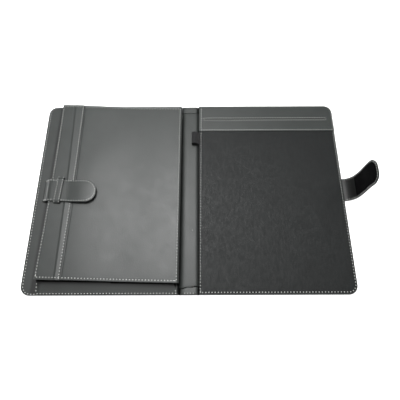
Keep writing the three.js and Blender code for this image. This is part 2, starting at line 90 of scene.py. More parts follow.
def size(group, key):
    """A length from the settings, in millimetres."""
    return getattr(getattr(bpy.context.scene, "padfolio_" + group), key) * 1000


# Settings


def length(name, description, default):
    return bpy.props.FloatProperty(
        name=name, description=description, default=mm(default), min=0.0, max=1.0,
        unit="LENGTH", precision=4,
    )


def colour(name, description, default):
    return bpy.props.FloatVectorProperty(
        name=name, description=description, default=default, min=0.0, max=1.0,
        size=3, subtype="COLOR",
    )


class PADFOLIO_PG_covers(bpy.types.PropertyGroup):
    corner: length("Corner radius", "Outer corners of both covers", 15.0)
    roll: length("Edge roll", "How far the rounded edge of the leather reaches in", 2.4)
    lining_start: length("Lining start", "Spine middle to the inner edge of a lining", 15.5)
    left_inset: length("Left inset", "Rim of outer leather left open beside the left lining", 1.0)
    right_inset: length("Right inset", "Rim of outer leather left open beside the fabric", 2.6)
    hem: length("Spine hem", "Leather turned in at the two ends of the spine", 12.0)
    bow: length("Gutter bow", "Height of the gutter's middle above the table", 4.3)


class PADFOLIO_PG_pocket(bpy.types.PropertyGroup):
    leather: length("Leather", "Thickness of the pocket's leather", 1.1)
    band_width: length("Band width", "Width of the facing band along the mouth", 38.6)
    seam_inset: length("Seam inset", "Edge of the panel to its seam", 2.1)
    slack: length("Slack", "Height of the soft waves in the front panel", 0.55)
    fold_depth: length("Gusset depth", "Edge of the panel to the inner fold of the gusset", 13.5)
    tongue_half: length("Tongue half width", "Middle of the tongue to its side", 19.0)
    keeper_width: length("Keeper width", "Width of the loop over the tongue", 10.5)


class PADFOLIO_PG_pad_side(bpy.types.PropertyGroup):
    band_height: length("Band height", "Height of the leather band over the pad", 53.1)
    slit_drop: length("Slit drop", "Top edge of the cover to the slit", 28.3)
    loop_rib: length("Elastic rib", "Spacing of the pen loop's ribs", 1.1)


class PADFOLIO_PG_strap(bpy.types.PropertyGroup):
    half: length("Half width", "Middle of the closing strap to its side", 19.9)
    total: length("Length", "Root of the strap to its tip", 94.0)
    tip: length("Tip radius", "Rounding of the strap's end", 15.0)
    pad_inset: length("Pad inset", "Edge of the strap to the hook pad", 3.6)


class PADFOLIO_PG_seams(bpy.types.PropertyGroup):
    pitch: length("Pitch", "Length of one stitch with its gap", 4.7)
    fine_pitch: length("Fine pitch", "Stitch length on the tongue, keeper and strap", 4.1)
    thread: length("Thread", "Width of the thread", 1.4)
    fill: bpy.props.FloatProperty(
        name="Fill", description="Share of each stitch that shows above the leather",
        default=0.37, min=0.0, max=1.0, subtype="FACTOR",
    )
    sink: length("Sink", "How deep a seam pulls into the leather", 0.07)


class PADFOLIO_PG_colours(bpy.types.PropertyGroup):
    leather: colour("Leather", "Outer leather, pocket and bands", (0.0225, 0.0255, 0.0240))
    inner: colour("Inner leather", "Lining of the left cover", (0.0220, 0.0245, 0.0232))
    cloth: colour("Cloth", "Fabric under the writing pad", (0.0045, 0.0056, 0.0056))
    thread: colour("Thread", "Contrast thread of the seams", (0.47, 0.48, 0.46))
    web: colour("Web", "Elastic loop and fastener tape", (0.0035, 0.0035, 0.004))
    floor: colour("Floor", "Plain floor under the folder", (0.93, 0.93, 0.93))


# Finishes


class Nodes:
    """Short hand for the node tree of a material."""

    def __init__(self, name, base, roughness, **values):
        self.material = bpy.data.materials.new(name)
        self.material.use_nodes = True
        self.material.diffuse_color = (*base, 1.0)
        self.tree = self.material.node_tree
        self.shader = self.tree.nodes["Principled BSDF"]
        self.fill(self.shader, Roughness=roughness, Base_Color=(*base, 1.0), **values)
        self.where = self.add("ShaderNodeTexCoord").outputs["Object"]

    @staticmethod
    def fill(node, **values):
        """Sets a node's options and its sockets, whose names have _ for a space."""
        for key, value in values.items():
            if hasattr(node, key):
                setattr(node, key, value)
            else:
                node.inputs[key.replace("_", " ")].default_value = value

    def add(self, kind, **values):
        node = self.tree.nodes.new(kind)
        self.fill(node, **values)
        return node

    def link(self, out, node, socket):
        self.tree.links.new(out, node.inputs[socket])

    def texture(self, kind, output, stretch=None, **values):
        """Output of a procedural texture in object coordinates."""
        node = self.add("ShaderNodeTex" + kind, **values)
        where = self.where
        if stretch:
            mapping = self.add("ShaderNodeMapping", Scale=stretch)
            self.link(where, mapping, "Vector")
            where = mapping.outputs["Vector"]
        self.link(where, node, "Vector")
        return node.outputs[output]

    def noise(self, scale, detail, stretch=None):
        return self.texture("Noise", "Fac", stretch, Scale=scale, Detail=detail)

    def ramp(self, source, stops):
        node = self.add("ShaderNodeValToRGB")
        self.link(source, node, "Fac")
        for element, (place, value) in zip(node.color_ramp.elements, stops):
            element.position = place
            element.color = (*value, 1.0)
        return node.outputs["Color"]

    def tones(self, source, base, *stops):
        """A ramp between two shades of one colour; each stop is (place, factor)."""
        return self.ramp(source, [(place, shade(base, factor)) for place, factor in stops])

    def mix(self, factor, first, second, blend="MIX"):
        """Mixes two colours; a value is a number, a colour or the output of a node."""
        node = self.add("ShaderNodeMix", data_type="RGBA", blend_type=blend)
        for name, value in (("Factor", factor), ("A", first), ("B", second)):
            socket = next(s for s in node.inputs if s.name == name and s.enabled)
            if hasattr(value, "is_linked"):
                self.tree.links.new(value, socket)
            else:
                socket.default_value = value if isinstance(value, float) else (*value, 1.0)
        return next(s for s in node.outputs if s.enabled)

    def paint(self, out):
        self.link(out, self.shader, "Base Color")

    def roughen(self, source, *stops):
        """Links a roughness that varies; each stop is (place, roughness)."""
        levels = self.ramp(source, [(place, (value,) * 3) for place, value in stops])
        self.link(levels, self.shader, "Roughness")

    def bump(self, *heights):
        """Each height is (source, strength, distance in millimetres)."""
        normal = None
        for source, strength, distance in heights:
            node = self.add("ShaderNodeBump", Strength=strength, Distance=mm(distance))
            self.link(source, node, "Height")
            if normal is not None:
                self.link(normal, node, "Normal")
            normal = node.outputs["Normal"]
        self.link(normal, self.shader, "Normal")


def shade(base, factor):
    return tuple(min(1.0, channel * factor) for channel in base)


def leather_finish(name, base, roughness, grain=0.5, gloss=0.5, crease=None):
    """Pebbled leather: cells of grain, soft blotches, and a little polish that varies at random.

    A crease paints shade into the colour, given as (along_x, along_y, start, end, dark): the tone
    falls to dark where the size of along_x * x + along_y * y, in millimetres, goes from start to
    end.
    """
    nodes = Nodes(
        name, base, roughness, Specular_IOR_Level=gloss, Sheen_Weight=0.04, Sheen_Roughness=0.4,
    )
    cells = nodes.texture("Voronoi", "Distance", feature="SMOOTH_F1", Scale=780.0)
    pores = nodes.noise(2300.0, 2.0)
    blotch = nodes.noise(22.0, 4.0)
    smudge = nodes.noise(60.0, 5.0)
    tone = nodes.tones(blotch, base, (0.3, 0.90), (0.7, 1.10))
    tone = nodes.mix(0.5, tone, nodes.tones(smudge, base, (0.42, 0.93), (0.62, 1.12)))
    # Painted shade: the tone darkens towards one line.
    if crease:
        along_x, along_y, start, end, dark = crease
        across = nodes.add("ShaderNodeVectorMath", operation="DOT_PRODUCT")
        across.inputs[1].default_value = (along_x, along_y, 0.0)
        nodes.link(nodes.where, across, 0)
        distance = nodes.add("ShaderNodeMath", operation="ABSOLUTE")
        nodes.link(across.outputs["Value"], distance, 0)
        fall = nodes.add(
            "ShaderNodeMapRange", interpolation_type="SMOOTHSTEP",
            From_Min=mm(start), From_Max=mm(end),
        )
        nodes.link(distance.outputs["Value"], fall, "Value")
        tone = nodes.mix(fall.outputs["Result"], tone, shade(base, dark))
    nodes.paint(tone)
    nodes.roughen(smudge, (0.3, roughness - 0.03), (0.75, roughness + 0.03))
    nodes.bump((blotch, 0.10, 0.4), (cells, grain, 0.16), (pores, grain * 0.5, 0.05))
    return nodes.material


def cloth_finish(name, base):
    """Fine plain weave with a dusty nap."""
    nodes = Nodes(
        name, base, 0.44, Specular_IOR_Level=0.27, Sheen_Weight=0.02, Sheen_Roughness=0.5,
    )
    warp, weft = (
        nodes.texture("Wave", "Color", bands_direction=way, Scale=330.0, Distortion=0.7, Detail=1.0)
        for way in "XY"
    )
    weave = nodes.mix(0.5, warp, weft, "DIFFERENCE")
    nap = nodes.noise(34.0, 6.0, (1.0, 0.6, 1.0))
    slub = nodes.noise(420.0, 2.0, (1.0, 0.12, 1.0))
    streak = nodes.noise(240.0, 4.0, (1.0, 0.5, 1.0))
    tone = nodes.tones(nap, base, (0.32, 0.82), (0.7, 1.24))
    nodes.paint(nodes.mix(0.45, tone, nodes.tones(slub, base, (0.35, 0.75), (0.7, 1.35))))
    nodes.roughen(streak, (0.35, 0.37), (0.65, 0.52))
    nodes.bump((weave, 0.5, 0.22), (slub, 0.3, 0.15), (streak, 0.5, 0.35))
    return nodes.material


def thread_finish(name, base):
    """Twisted polyester thread."""
    nodes = Nodes(name, base, 0.55, Sheen_Weight=0.2)
    twist = nodes.texture("Wave", "Color", bands_direction="DIAGONAL", Scale=900.0)
    nodes.paint(nodes.tones(nodes.noise(900.0, 2.0), base, (0.3, 0.8), (0.7, 1.15)))
    nodes.bump((twist, 0.5, 0.12))
    return nodes.material


def elastic_finish(name, base, rib):
    """Ribbed elastic webbing."""
    nodes = Nodes(name, base, 0.8, Sheen_Weight=0.08)
    ribs = nodes.texture("Wave", "Color", bands_direction="Y", Scale=1.0 / rib / 6.3)
    fibre = nodes.noise(1500.0, 2.0)
    tone = nodes.tones(ribs, base, (0.2, 0.5), (0.8, 2.4))
    nodes.paint(nodes.mix(0.5, tone, nodes.tones(fibre, base, (0.3, 0.7), (0.7, 1.8))))
    nodes.bump((ribs, 0.8, 0.35), (fibre, 0.4, 0.1))
    return nodes.material


def tape_finish(name, base, scale):
    """Hook or loop tape: a dense field of tiny points."""
    nodes = Nodes(name, base, 0.95, Specular_IOR_Level=0.05)
    points = nodes.texture("Voronoi", "Distance", Scale=scale)
    nodes.paint(nodes.tones(points, base, (0.1, 2.2), (0.6, 0.5)))
    nodes.bump((points, 0.9, 0.4))
    return nodes.material


def board_finish(name, base):
    """Pressed grey board with flecks."""
    nodes = Nodes(name, base, 0.95)
    fleck = nodes.noise(700.0, 4.0)
    nodes.paint(nodes.tones(fleck, base, (0.35, 0.7), (0.65, 1.15)))
    nodes.bump((fleck, 0.3, 0.1))
    return nodes.material


def foam_finish(name, base):
    """Fine open-cell foam."""
    nodes = Nodes(name, base, 1.0)
    cells = nodes.texture("Voronoi", "Distance", Scale=1400.0)
    nodes.paint(nodes.tones(cells, base, (0.0, 0.8), (0.6, 1.0)))
    nodes.bump((cells, 0.6, 0.2))
    return nodes.material


def floor_finish(name, base):
    """Plain matt backdrop."""
    nodes = Nodes(
        name, base, 0.9, Specular_IOR_Level=0.1,
        Emission_Color=(1.0, 1.0, 1.0, 1.0), Emission_Strength=0.9,
    )
    nodes.paint(nodes.tones(nodes.noise(3.0, 2.0), base, (0.3, 0.997), (0.7, 1.0)))
    return nodes.material


FINISHES = {}


def finish(name):
    """The finish of that name, made once."""
    if name not in FINISHES:
        colours = bpy.context.scene.padfolio_colours
        leather, inner, cloth, thread, web, floor = (
            tuple(getattr(colours, key))
            for key in ("leather", "inner", "cloth", "thread", "web", "floor")
        )
        # Painted shade: the left lining's tone falls dark next to and under the pocket's mouth.
        margin_painted_shade = (1.0, -0.0163, 238.5, 233.5, 0.15)
        # Painted shade: the gusset's tone falls dark under the front panel's edge.
        gusset_painted_shade = (*GUSSET_SLOPE, 160.0, 152.2, 0.05)
        maker, *values = {
            "leather": (leather_finish, "leather", leather, 0.43),
            "inner": (leather_finish, "inner_leather", inner, 0.48),
            "margin": (leather_finish, "lining_leather", inner, 0.48, 0.5, 0.5, margin_painted_shade),
            "gutter": (leather_finish, "gutter_soft_leather", leather, 0.45, 0.5, 0.43),
            "gusset": (leather_finish, "gusset_leather", inner, 0.55, 0.5, 0.42, gusset_painted_shade),
            # Painted shade: a near-black finish for leather deep in folds and crevices, where shade
            # falls.
            "fold": (leather_finish, "deep_fold_leather", shade(inner, 0.10), 0.9, 0.5, 0.06),
            "strap_inner": (leather_finish, "strap_lining", shade(inner, 0.16), 0.50, 0.3, 0.4),
            "cloth": (cloth_finish, "panel_cloth", cloth),
            "thread": (thread_finish, "seam_thread", thread),
            "elastic": (elastic_finish, "loop_elastic", web, mm(size("pad_side", "loop_rib"))),
            "hooks": (tape_finish, "hook_tape", shade(web, 0.7), 900.0),
            "loops": (tape_finish, "loop_tape", shade(web, 1.6), 1300.0),
            "board": (board_finish, "grey_board", (0.26, 0.24, 0.20)),
            "foam": (foam_finish, "thin_foam", (0.70, 0.70, 0.66)),
            "floor": (floor_finish, "plain_floor", floor),
        }[name]
        FINISHES[name] = maker(*values)
    return FINISHES[name]


# Mesh makers (all in millimetres until the mesh is written)


def put(name, data):
    """A new object in the scene."""
    made = bpy.data.objects.new(name, data)
    bpy.context.scene.collection.objects.link(made)
    return made


def write_mesh(name, points, faces, look, slot, weld=True):
    """A smooth closed mesh from points in millimetres."""
    mesh = bpy.data.meshes.new(name)
    mesh.from_pydata([tuple(mm(c) for c in p) for p in points], [], faces)
    if weld:
        made = bmesh.new()
        made.from_mesh(mesh)
        bmesh.ops.remove_doubles(made, verts=made.verts, dist=2e-6)
        bmesh.ops.dissolve_degenerate(made, edges=made.edges, dist=1e-7)
        bmesh.ops.recalc_face_normals(made, faces=made.faces)
        made.to_mesh(mesh)
        made.free()
    mesh.materials.append(finish(look))
    for face in mesh.polygons:
        face.use_smooth = True
    piece = put(name, mesh)
    return piece


def clamp(value):
    """A number kept between 0 and 1."""
    return min(max(value, 0.0), 1.0)


def ease(part):
    """0 to 1 with a soft start and a soft end."""
    return part * part * (3 - 2 * part)


def between(knots, run, shape=lambda part: part):
    """Value at a distance along a list of (distance, value)."""
    for (a, low), (b, high) in zip(knots, knots[1:]):
        if run <= b:
            return low + (high - low) * shape(max(run - a, 0.0) / (b - a))
    return knots[-1][1]


def soft_curve(knots, steps):
    """Points of a smooth curve that goes through all knots."""
    line = []
    for i in range(len(knots) - 1):
        p0, p1 = knots[max(i - 1, 0)], knots[i]
        p2, p3 = knots[i + 1], knots[min(i + 2, len(knots) - 1)]
        for k in range(steps):
            u = k / steps
            line.append(tuple(
                0.5 * ((2 * b) + (c - a) * u + (2 * a - 5 * b + 4 * c - d) * u * u
                       + (3 * b - a - 3 * c + d) * u ** 3)
                for a, b, c, d in zip(p0, p1, p2, p3)
            ))
    return line + [knots[-1]]


ROLL_STEPS = (0.0, 0.03, 0.12, 0.28, 0.52, 0.78, 1.0)


def grid_lines(low, high, step, roll, extra=(), corner=0.0, seams=()):
    """Grid coordinates with close lines at the rolled edges, the corners and the seams."""
    lines = {low, high}
    count = max(2, round((high - low) / step))
    lines.update(low + (high - low) * i / count for i in range(count + 1))
    for part in ROLL_STEPS:
        lines.update((low + roll * part, high - roll * part))
    if corner:
        for i in range(1, 9):
            lines.update((low + corner * i / 8, high - corner * i / 8))
    for seam in seams:
        lines.update(seam + d for d in (-1.6, -0.8, 0.0, 0.8, 1.6))
    lines.update(extra)
    inside = sorted(v for v in lines if low <= v <= high)
    kept = [inside[0]]
    for value in inside[1:]:
        if value - kept[-1] > 0.02:
            kept.append(value)
    kept[-1] = high
    return kept


class Outline:
    """Rounded rectangle; radii are for low-left, low-right, high-right and high-left."""

    def __init__(self, x, y, radii=(0, 0, 0, 0), open_sides=()):
        self.x, self.y, self.radii, self.open_sides = x, y, radii, open_sides
        self.corners = [
            (x[0], y[0], -1, -1, radii[0]), (x[1], y[0], 1, -1, radii[1]),
            (x[1], y[1], 1, 1, radii[2]), (x[0], y[1], -1, 1, radii[3]),
        ]

    def _rounding(self, x, y):
        """The rounded corner that a point lies in: its centre, its signs and the offsets."""
        for cx, cy, sx, sy, radius in self.corners:
            mx, my = cx - sx * radius, cy - sy * radius
            a, b = (x - mx) * sx, (y - my) * sy
            if radius > 0 and a > 0 and b > 0:
                yield mx, my, sx, sy, a, b, radius

    def bend(self, x, y):
        """Moves a grid point of a square corner into the rounded corner."""
        for mx, my, sx, sy, a, b, _ in self._rounding(x, y):
            scale = max(a, b) / math.hypot(a, b)
            return mx + sx * a * scale, my + sy * b * scale
        return x, y

    def depth(self, x, y):
        """Distance from the nearest closed side."""
        sides = {
            "low_x": x - self.x[0], "high_x": self.x[1] - x,
            "low_y": y - self.y[0], "high_y": self.y[1] - y,
        }
        reach = [value for side, value in sides.items() if side not in self.open_sides]
        reach += [corner[6] - math.hypot(*corner[4:6]) for corner in self._rounding(x, y)]
        return max(min(reach), 0.0)


def rolled(depth, roll):
    """0 at the very edge, 1 past the roll, along a quarter of an ellipse."""
    if depth >= roll:
        return 1.0
    return math.sqrt(max(0.0, 1.0 - (1.0 - depth / roll) ** 2))


def sheet(name, look, slot, outline, bottom, top, roll, step=9.0, extra=((), ()), corner=0.0,
          seams=((), ()), place=None):
    """A closed soft sheet between two level functions, with a rolled edge all round."""
    xs = grid_lines(*outline.x, step, roll, extra[0], corner, seams[0])
    ys = grid_lines(*outline.y, step, roll, extra[1], corner, seams[1])
    place = place or (lambda x, y, z: (x, y, z))
    upper, lower = [], []
    for gy in ys:
        for gx in xs:
            x, y = outline.bend(gx, gy)
            share_in = rolled(outline.depth(x, y), roll)
            low, high = bottom(x, y), top(x, y)
            middle = low + (high - low) * 0.45
            upper.append(place(x, y, middle + (high - middle) * share_in))
            lower.append(place(x, y, middle - (middle - low) * share_in))
    return close_grid(name, look, slot, upper, lower, len(xs), len(ys))


def close_grid(name, look, slot, upper, lower, across, rows):
    """Joins an upper and a lower grid of points into one closed mesh."""
    total = across * rows
    faces = []
    for j in range(rows - 1):
        for i in range(across - 1):
            a = j * across + i
            quad = (a, a + 1, a + across + 1, a + across)
            faces.append(quad)
            faces.append(tuple(total + v for v in reversed(quad)))
    border = list(range(across))
    border += [j * across + across - 1 for j in range(1, rows)]
    border += [(rows - 1) * across + i for i in range(across - 2, -1, -1)]
    border += [j * across for j in range(rows - 2, 0, -1)]
    for a, b in zip(border, border[1:] + border[:1]):
        faces.append((b, a, total + a, total + b))
    return write_mesh(name, upper + lower, faces, look, slot)


def paint_shade(piece, look, test):
    """Paints shade: gives a second, darker finish to the faces whose middle, in millimetres, passes
    the test.
    """
    piece.data.materials.append(finish(look))
    for face in piece.data.polygons:
        if test(*(1000.0 * value for value in face.center)):
            face.material_index = 1


def spread(low, high, count):
    return [low + (high - low) * i / count for i in range(count + 1)]


def groove(distance, depth, width=0.9):
    """Soft dip of a seam."""
    return depth * math.exp(-((distance / width) ** 2))


def wave(x, y, size, seed):
    """Smooth unevenness between -1 and 1."""
    return noise.noise(Vector((x / size + seed * 7.3, y / size - seed * 3.1, seed * 1.7)))


BACK_TACK = 0.6                 # pitch of the double stitches at a seam's end, as a share
BACK_TACK_LIFT = 0.25


class Seam:
    """Gathers stitches that share one body, and writes them as one mesh."""

    def __init__(self, name, body):
        self.name, self.body = name, body
        self.points, self.faces = [], []

    def run(self, surface, path, pitch, closed=False, lift=0.22, slant=9.0):
        """Stitches along a path of (x, y) points on a surface (x, y) -> point in millimetres."""
        fill = bpy.context.scene.padfolio_seams.fill
        half_width = size("seams", "thread") / 2
        probe = 0.4
        ends = list(path) + ([path[0]] if closed else [])
        spans = [math.dist(a, b) for a, b in zip(ends, ends[1:])]
        total = sum(spans)
        count = max(1, round(total / pitch))
        step = total / count
        for k in range(count):
            (x, y), (dx, dy) = self._at(ends, spans, (k + 0.5) * step)
            here = Vector(surface(x, y))
            along = (Vector(surface(x + dx * probe, y + dy * probe)) - here).normalized()
            side = Vector(surface(x - dy * probe, y + dx * probe)) - here
            up = along.cross(side).normalized()
            along = Matrix.Rotation(math.radians(slant), 3, up) @ along
            across = up.cross(along).normalized()
            self._bead(here + up * lift, along, across, up, step * fill / 2, half_width)

    @staticmethod
    def _at(ends, spans, run):
        for a, b, span in zip(ends, ends[1:], spans):
            if run <= span or (a, b) == (ends[-2], ends[-1]):
                part = run / span if span else 0.0
                ahead = ((b[0] - a[0]) / span, (b[1] - a[1]) / span)
                return (a[0] + (b[0] - a[0]) * part, a[1] + (b[1] - a[1]) * part), ahead
            run -= span
        return ends[-1], (1.0, 0.0)

    def _bead(self, centre, along, across, up, half_length, half_width):
        start, sides = len(self.points), 6
        rings = (
            (-1.0, 0.30, -0.30), (-0.72, 0.80, 0.0), (0.0, 1.0, 0.12), (0.72, 0.80, 0.0),
            (1.0, 0.30, -0.30),
        )
        for run, girth, rise in rings:
            for k in range(sides):
                angle = math.pi * 2 * k / sides
                self.points.append(
                    centre + along * (run * half_length)
                    + across * (math.cos(angle) * half_width * girth)
                    + up * (math.sin(angle) * half_width * 0.62 * girth + rise * half_width)
                )
        last = start + sides * (len(rings) - 1)
        for ring in range(start, last, sides):
            for k in range(sides):
                a, b = ring + k, ring + (k + 1) % sides
                self.faces.append((a, b, b + sides, a + sides))
        self.faces.append(tuple(reversed(range(start, start + sides))))
        self.faces.append(tuple(range(last, last + sides)))

    def write(self):
        piece = write_mesh(self.name, self.points, self.faces, "thread", "leather", weld=False)
        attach(piece, self.body)
        return piece


def arc(cx, cy, radius, start, end, count=7):
    """Points of an arc, angles in degrees."""
    return [
        (cx + radius * math.cos(math.radians(a)), cy + radius * math.sin(math.radians(a)))
        for a in spread(start, end, count)
    ]


def round_path(far, top, radius):
    """Path up the outer side of a sheet, with its two rounded corners."""
    low = arc(far - radius, -top + radius, radius, -90, 0)
    return low + arc(far - radius, top - radius, radius, 0, 90)


# Forms of the folder

FOLD_X = 12.9                   # spine middle to where the outer leather dips into a fold
WALL_X = 14.9                   # spine middle to where it climbs over a board
SKIN = 0.9                      # outer leather above the table
FOOT_SLOPE = 0.103              # how askew the gutter's leather ends at the foot
GUTTER_REACH = 15.4             # spine middle to the side of the gutter's leather
LINING_RIPPLE = {FRONT: 0.10, BACK: 0.16}
LINING_SEAM = {FRONT: 1.0, BACK: 1.2}   # edge of a lining to its seam
RIM_START = 18.0                # spine middle to the first stitch of a rim
HEM_SEAM = 2.6                  # end of the spine to the stitches across its hem
HEM_SEAM_HALF = 8.4


def gutter_level(x, y):
    """Top of the soft leather in the gutter: a low pillow with its crown right of the middle."""
    high, low = size("covers", "bow"), 1.0
    crown = 3.5 + 1.2 * wave(0.0, y, 70.0, 4)
    edge = FOLD_X + 1.3 + 0.25 * wave(x, y, 30.0, 6)
    if x < crown:
        part = min((crown - x) / (crown + edge), 1.0)
        return low + (high - low) * (1.0 - part ** 3.6) ** 0.75
    part = min((x - crown) / (edge - crown), 1.0)
    return low + (high - low) * (1.0 - part ** 6.0) ** 0.7


def gutter_end(x, y):
    """Where the gutter's leather ends and the hem shows: askew at the foot, straight above."""
    end = COVER_TOP - size("covers", "hem")
    if y > 0:
        return end - 2.5 + 0.03 * x
    return end - FOOT_SLOPE * x + 0.35 * math.sin(x * 0.55)


def cover_top_level(x, y):
    """Top of the outer leather: low over the spine and the fold, high over the boards."""
    if abs(x) < FOLD_X + 0.3:
        past = abs(y) - gutter_end(x, y) - 0.9
        if past > 0:
            return max(SKIN, gutter_level(x, y) - 0.9 + 0.6 * min(past / 0.9, 1.0))
    if abs(x) < WALL_X:
        over_board = abs(x) < 7.3 and abs(y) > gutter_end(x, y) - 3.0
        return 2.8 if over_board else SKIN
    return SKIN + (RIM_LEVEL - SKIN) * min((abs(x) - WALL_X) / 0.6, 1.0)


def cover_bottom_level(x, y):
    """Underside: flat, with a shallow furrow along the fold and the fastener's recess."""
    (x0, y0, _), (x1, y1, _) = LOOP_PAD
    if x0 - 0.3 < x < x1 + 0.3 and y0 - 0.3 < y < y1 + 0.3:
        return 0.42
    return groove(abs(x) - 13.0, 0.5, 1.1)


def cover_outline(sign, start, inset, open_sides=()):
    """Outline of a cover or of a sheet inside its rim: sign is 1 right of the spine, else -1."""
    corner = size("covers", "corner") - inset
    x = (start, COVER_EDGE - inset) if sign > 0 else (-COVER_EDGE + inset, -start)
    radii = (0, corner, corner, 0) if sign > 0 else (corner, 0, 0, corner)
    return Outline(x, (-COVER_TOP + inset, COVER_TOP - inset), radii, open_sides)


def lining_outline(sign, inset):
    return cover_outline(sign, size("covers", "lining_start"), inset)


def outer_leather(name, sign, body, nodes):
    outline = cover_outline(sign, 0.0, 0.0, ("low_x" if sign > 0 else "high_x",))
    fold_lines = [
        sign * v for v in (*spread(10.4, 16.4, 12), 2, 4, 6, 8, 9.2, 12.9, 13.2, 14.9, 15.2, 15.5)
    ]
    hem = COVER_TOP - size("covers", "hem")
    cross = [side * (hem + 0.4 * step) for step in range(-8, 10) for side in (-1, 1)]
    if sign < 0:
        for corner_point in LOOP_PAD:
            for lines, edge in ((fold_lines, corner_point[0]), (cross, corner_point[1])):
                lines += [edge - 0.35, edge - 0.25, edge + 0.25, edge + 0.35]
    piece = sheet(
        name, "leather", "leather", outline, cover_bottom_level, cover_top_level,
        size("covers", "roll"), step=10.0, extra=(fold_lines, cross),
        corner=size("covers", "corner"),
    )
    # Painted shade: the outer leather down in the folds beside the spine gets the near-black
    # finish.
    paint_shade(piece, "fold", lambda cx, cy, cz: FOLD_X < abs(cx) < 15.6 and cz > 0.7)
    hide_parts(*nodes)
    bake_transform(piece)


def lining_top(sign, outline, seam_inset, ripple):
    """Level of a cover's lining, with the dip of its seam."""
    sink = size("seams", "sink")

    def level(x, y):
        z = LINING_LEVEL + ripple * wave(x, y, 46.0, sign + 2)
        return z - groove(outline.depth(x, y) - seam_inset, sink)
    return level


# Document pocket

# Corners of the front panel: its foot and its head, each from the mouth to the spine.
PANEL_FOOT = ((-231.2, -145.3), (-15.0, -151.3))
PANEL_HEAD = ((-225.9, 163.4), (-13.8, 157.9))
PANEL_WIDTH, PANEL_HEIGHT = 213.2, 307.0
FLAT_SHARE = 0.21               # share of the panel's width that is flat, at the mouth
SPINE_SEAM = 3.7                # spine side of the panel to its seam
END_SEAM = 1.2                  # how much further in the seams along foot and head lie
GUSSET_SLOPE = (0.0281, 1.0)    # the painted shade on the strip runs square to this direction


def yield_to_spine(piece):
    """Gives a piece of the soft pocket a mesh of its own."""
    anchor = (mm(PANEL_FOOT[0][0]), 0.0, 0.0)
    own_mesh(piece)


def panel_xy(s, t):
    """Point of the front panel: s runs from the mouth to the spine, t from foot to head."""
    x, y = (
        (a * (1 - s) + b * s) * (1 - t) + (c * (1 - s) + d * s) * t
        for a, b, c, d in zip(*PANEL_FOOT, *PANEL_HEAD)
    )
    return x + 1.7 * math.sin(math.pi * clamp(t)) * (1 - s) ** 2, y


def panel_base(x, y):
    """Underside of the front panel above a flat (x, y) of the panel, before it is turned."""
    s, t = x / PANEL_WIDTH, y / PANEL_HEIGHT
    on = clamp((s - FLAT_SHARE) / (1 - FLAT_SHARE))
    sag = 1.9 * math.sin(math.pi * on) ** 2 + 0.7 * on * on
    loose = min(min(s, 1 - s, t, 1 - t) / 0.12, 1.0)
    ripple = size("pocket", "slack") * wave(x * 1.2, y * 0.8, 62.0, 5) * (0.35 + 0.65 * loose)
    turn = clamp((x - PANEL_WIDTH + 3.4) / 3.4)
    return PANEL_LEVEL - 1.0 - sag - 2.4 * turn ** 2 + ripple * min(on * 6 + 0.15, 1.0)


def panel_place(x, y, z):
    px, py = panel_xy(x / PANEL_WIDTH, y / PANEL_HEIGHT)
    return px, py, z


def end_dip(y):
    """Dip of the seams along the panel's foot and head."""
    inset, sink = size("pocket", "seam_inset") + END_SEAM, size("seams", "sink")
    return groove(y - inset, sink) + groove(PANEL_HEIGHT - inset - y, sink)


def panel_top(x, y):
    dip = groove(PANEL_WIDTH - SPINE_SEAM - x, size("seams", "sink")) + end_dip(y)
    dip += groove(x - size("pocket", "band_width") - 0.7, 0.55, 0.7)
    return panel_base(x, y) + size("pocket", "leather") - dip


def band_base(x, y):
    return panel_base(x, y) + size("pocket", "leather") - 0.05


def band_top(x, y):
    """The facing band, with its two seams and the edge of the layer under it showing through."""
    sink, inset = size("seams", "sink"), size("pocket", "seam_inset")
    right = size("pocket", "band_width") - inset
    dip = groove(x - inset, sink) + groove(right - x, sink) + end_dip(y)
    fold = 30.0 - 0.024 * y
    rise = ease(clamp((x - fold) / 3.2 + 0.5))
    fall = clamp((x - fold - 1.6) / (right - fold - 1.6))
    return band_base(x, y) + 1.05 + 0.5 * (rise - fall) - dip


def gusset_rings():
    """Rail, inner fold and panel edge along the three sides of the pocket."""
    depth = size("pocket", "fold_depth")
    rail_y, rail_x, left = COVER_TOP - 0.9, -16.4, -230.6

    def end_ring(s, t):
        side = 1 - 2 * t
        x, y = panel_xy(s, t)
        rail = (left + (rail_x - left) * s, -side * rail_y)
        return rail, (x - 10 * s, y + side * depth), (x, y + side * 0.5), s, t

    rings = [end_ring(s, 0.0) for s in spread(0.0, 1.0, 26)[:-1]]
    for t in spread(0.0, 1.0, 34):
        x, y = panel_xy(1.0, t)
        rail = (rail_x, -rail_y + 2 * rail_y * t)
        rings.append((rail, (x - depth, y + depth * (1 - 2 * t)), (x - 0.5, y), 1.0, t))
    return rings + [end_ring(s, 1.0) for s in spread(1.0, 0.0, 26)[1:]]


def gusset_section(rail, fold, edge, s, t):
    """Points across the V of the gusset, from the cover up to the panel."""
    low, high = LINING_LEVEL + 0.35, panel_base(s * PANEL_WIDTH, t * PANEL_HEIGHT) - 0.45
    mid = low + 3.6
    points = []
    for part in (0, .04, .1, .2, .3, .38, .44, .48, .52, .56, .6, .66, .74, .82, .9, .96):
        x, y = (a + (b - a) * part for a, b in zip(rail, fold))
        z = low + (mid - low) * part ** 1.6 + 0.35 * math.sin(math.pi * part)
        points.append((x, y, z))
    points.append((*fold, mid + 0.5))
    for part in (0.06, 0.15, 0.3, 0.5, 0.7, 0.86, 1.0):
        x, y = (a + (b - a) * part for a, b in zip(fold, edge))
        points.append((x, y, mid + 1.0 + (high - mid - 1.0) * part))
    return points


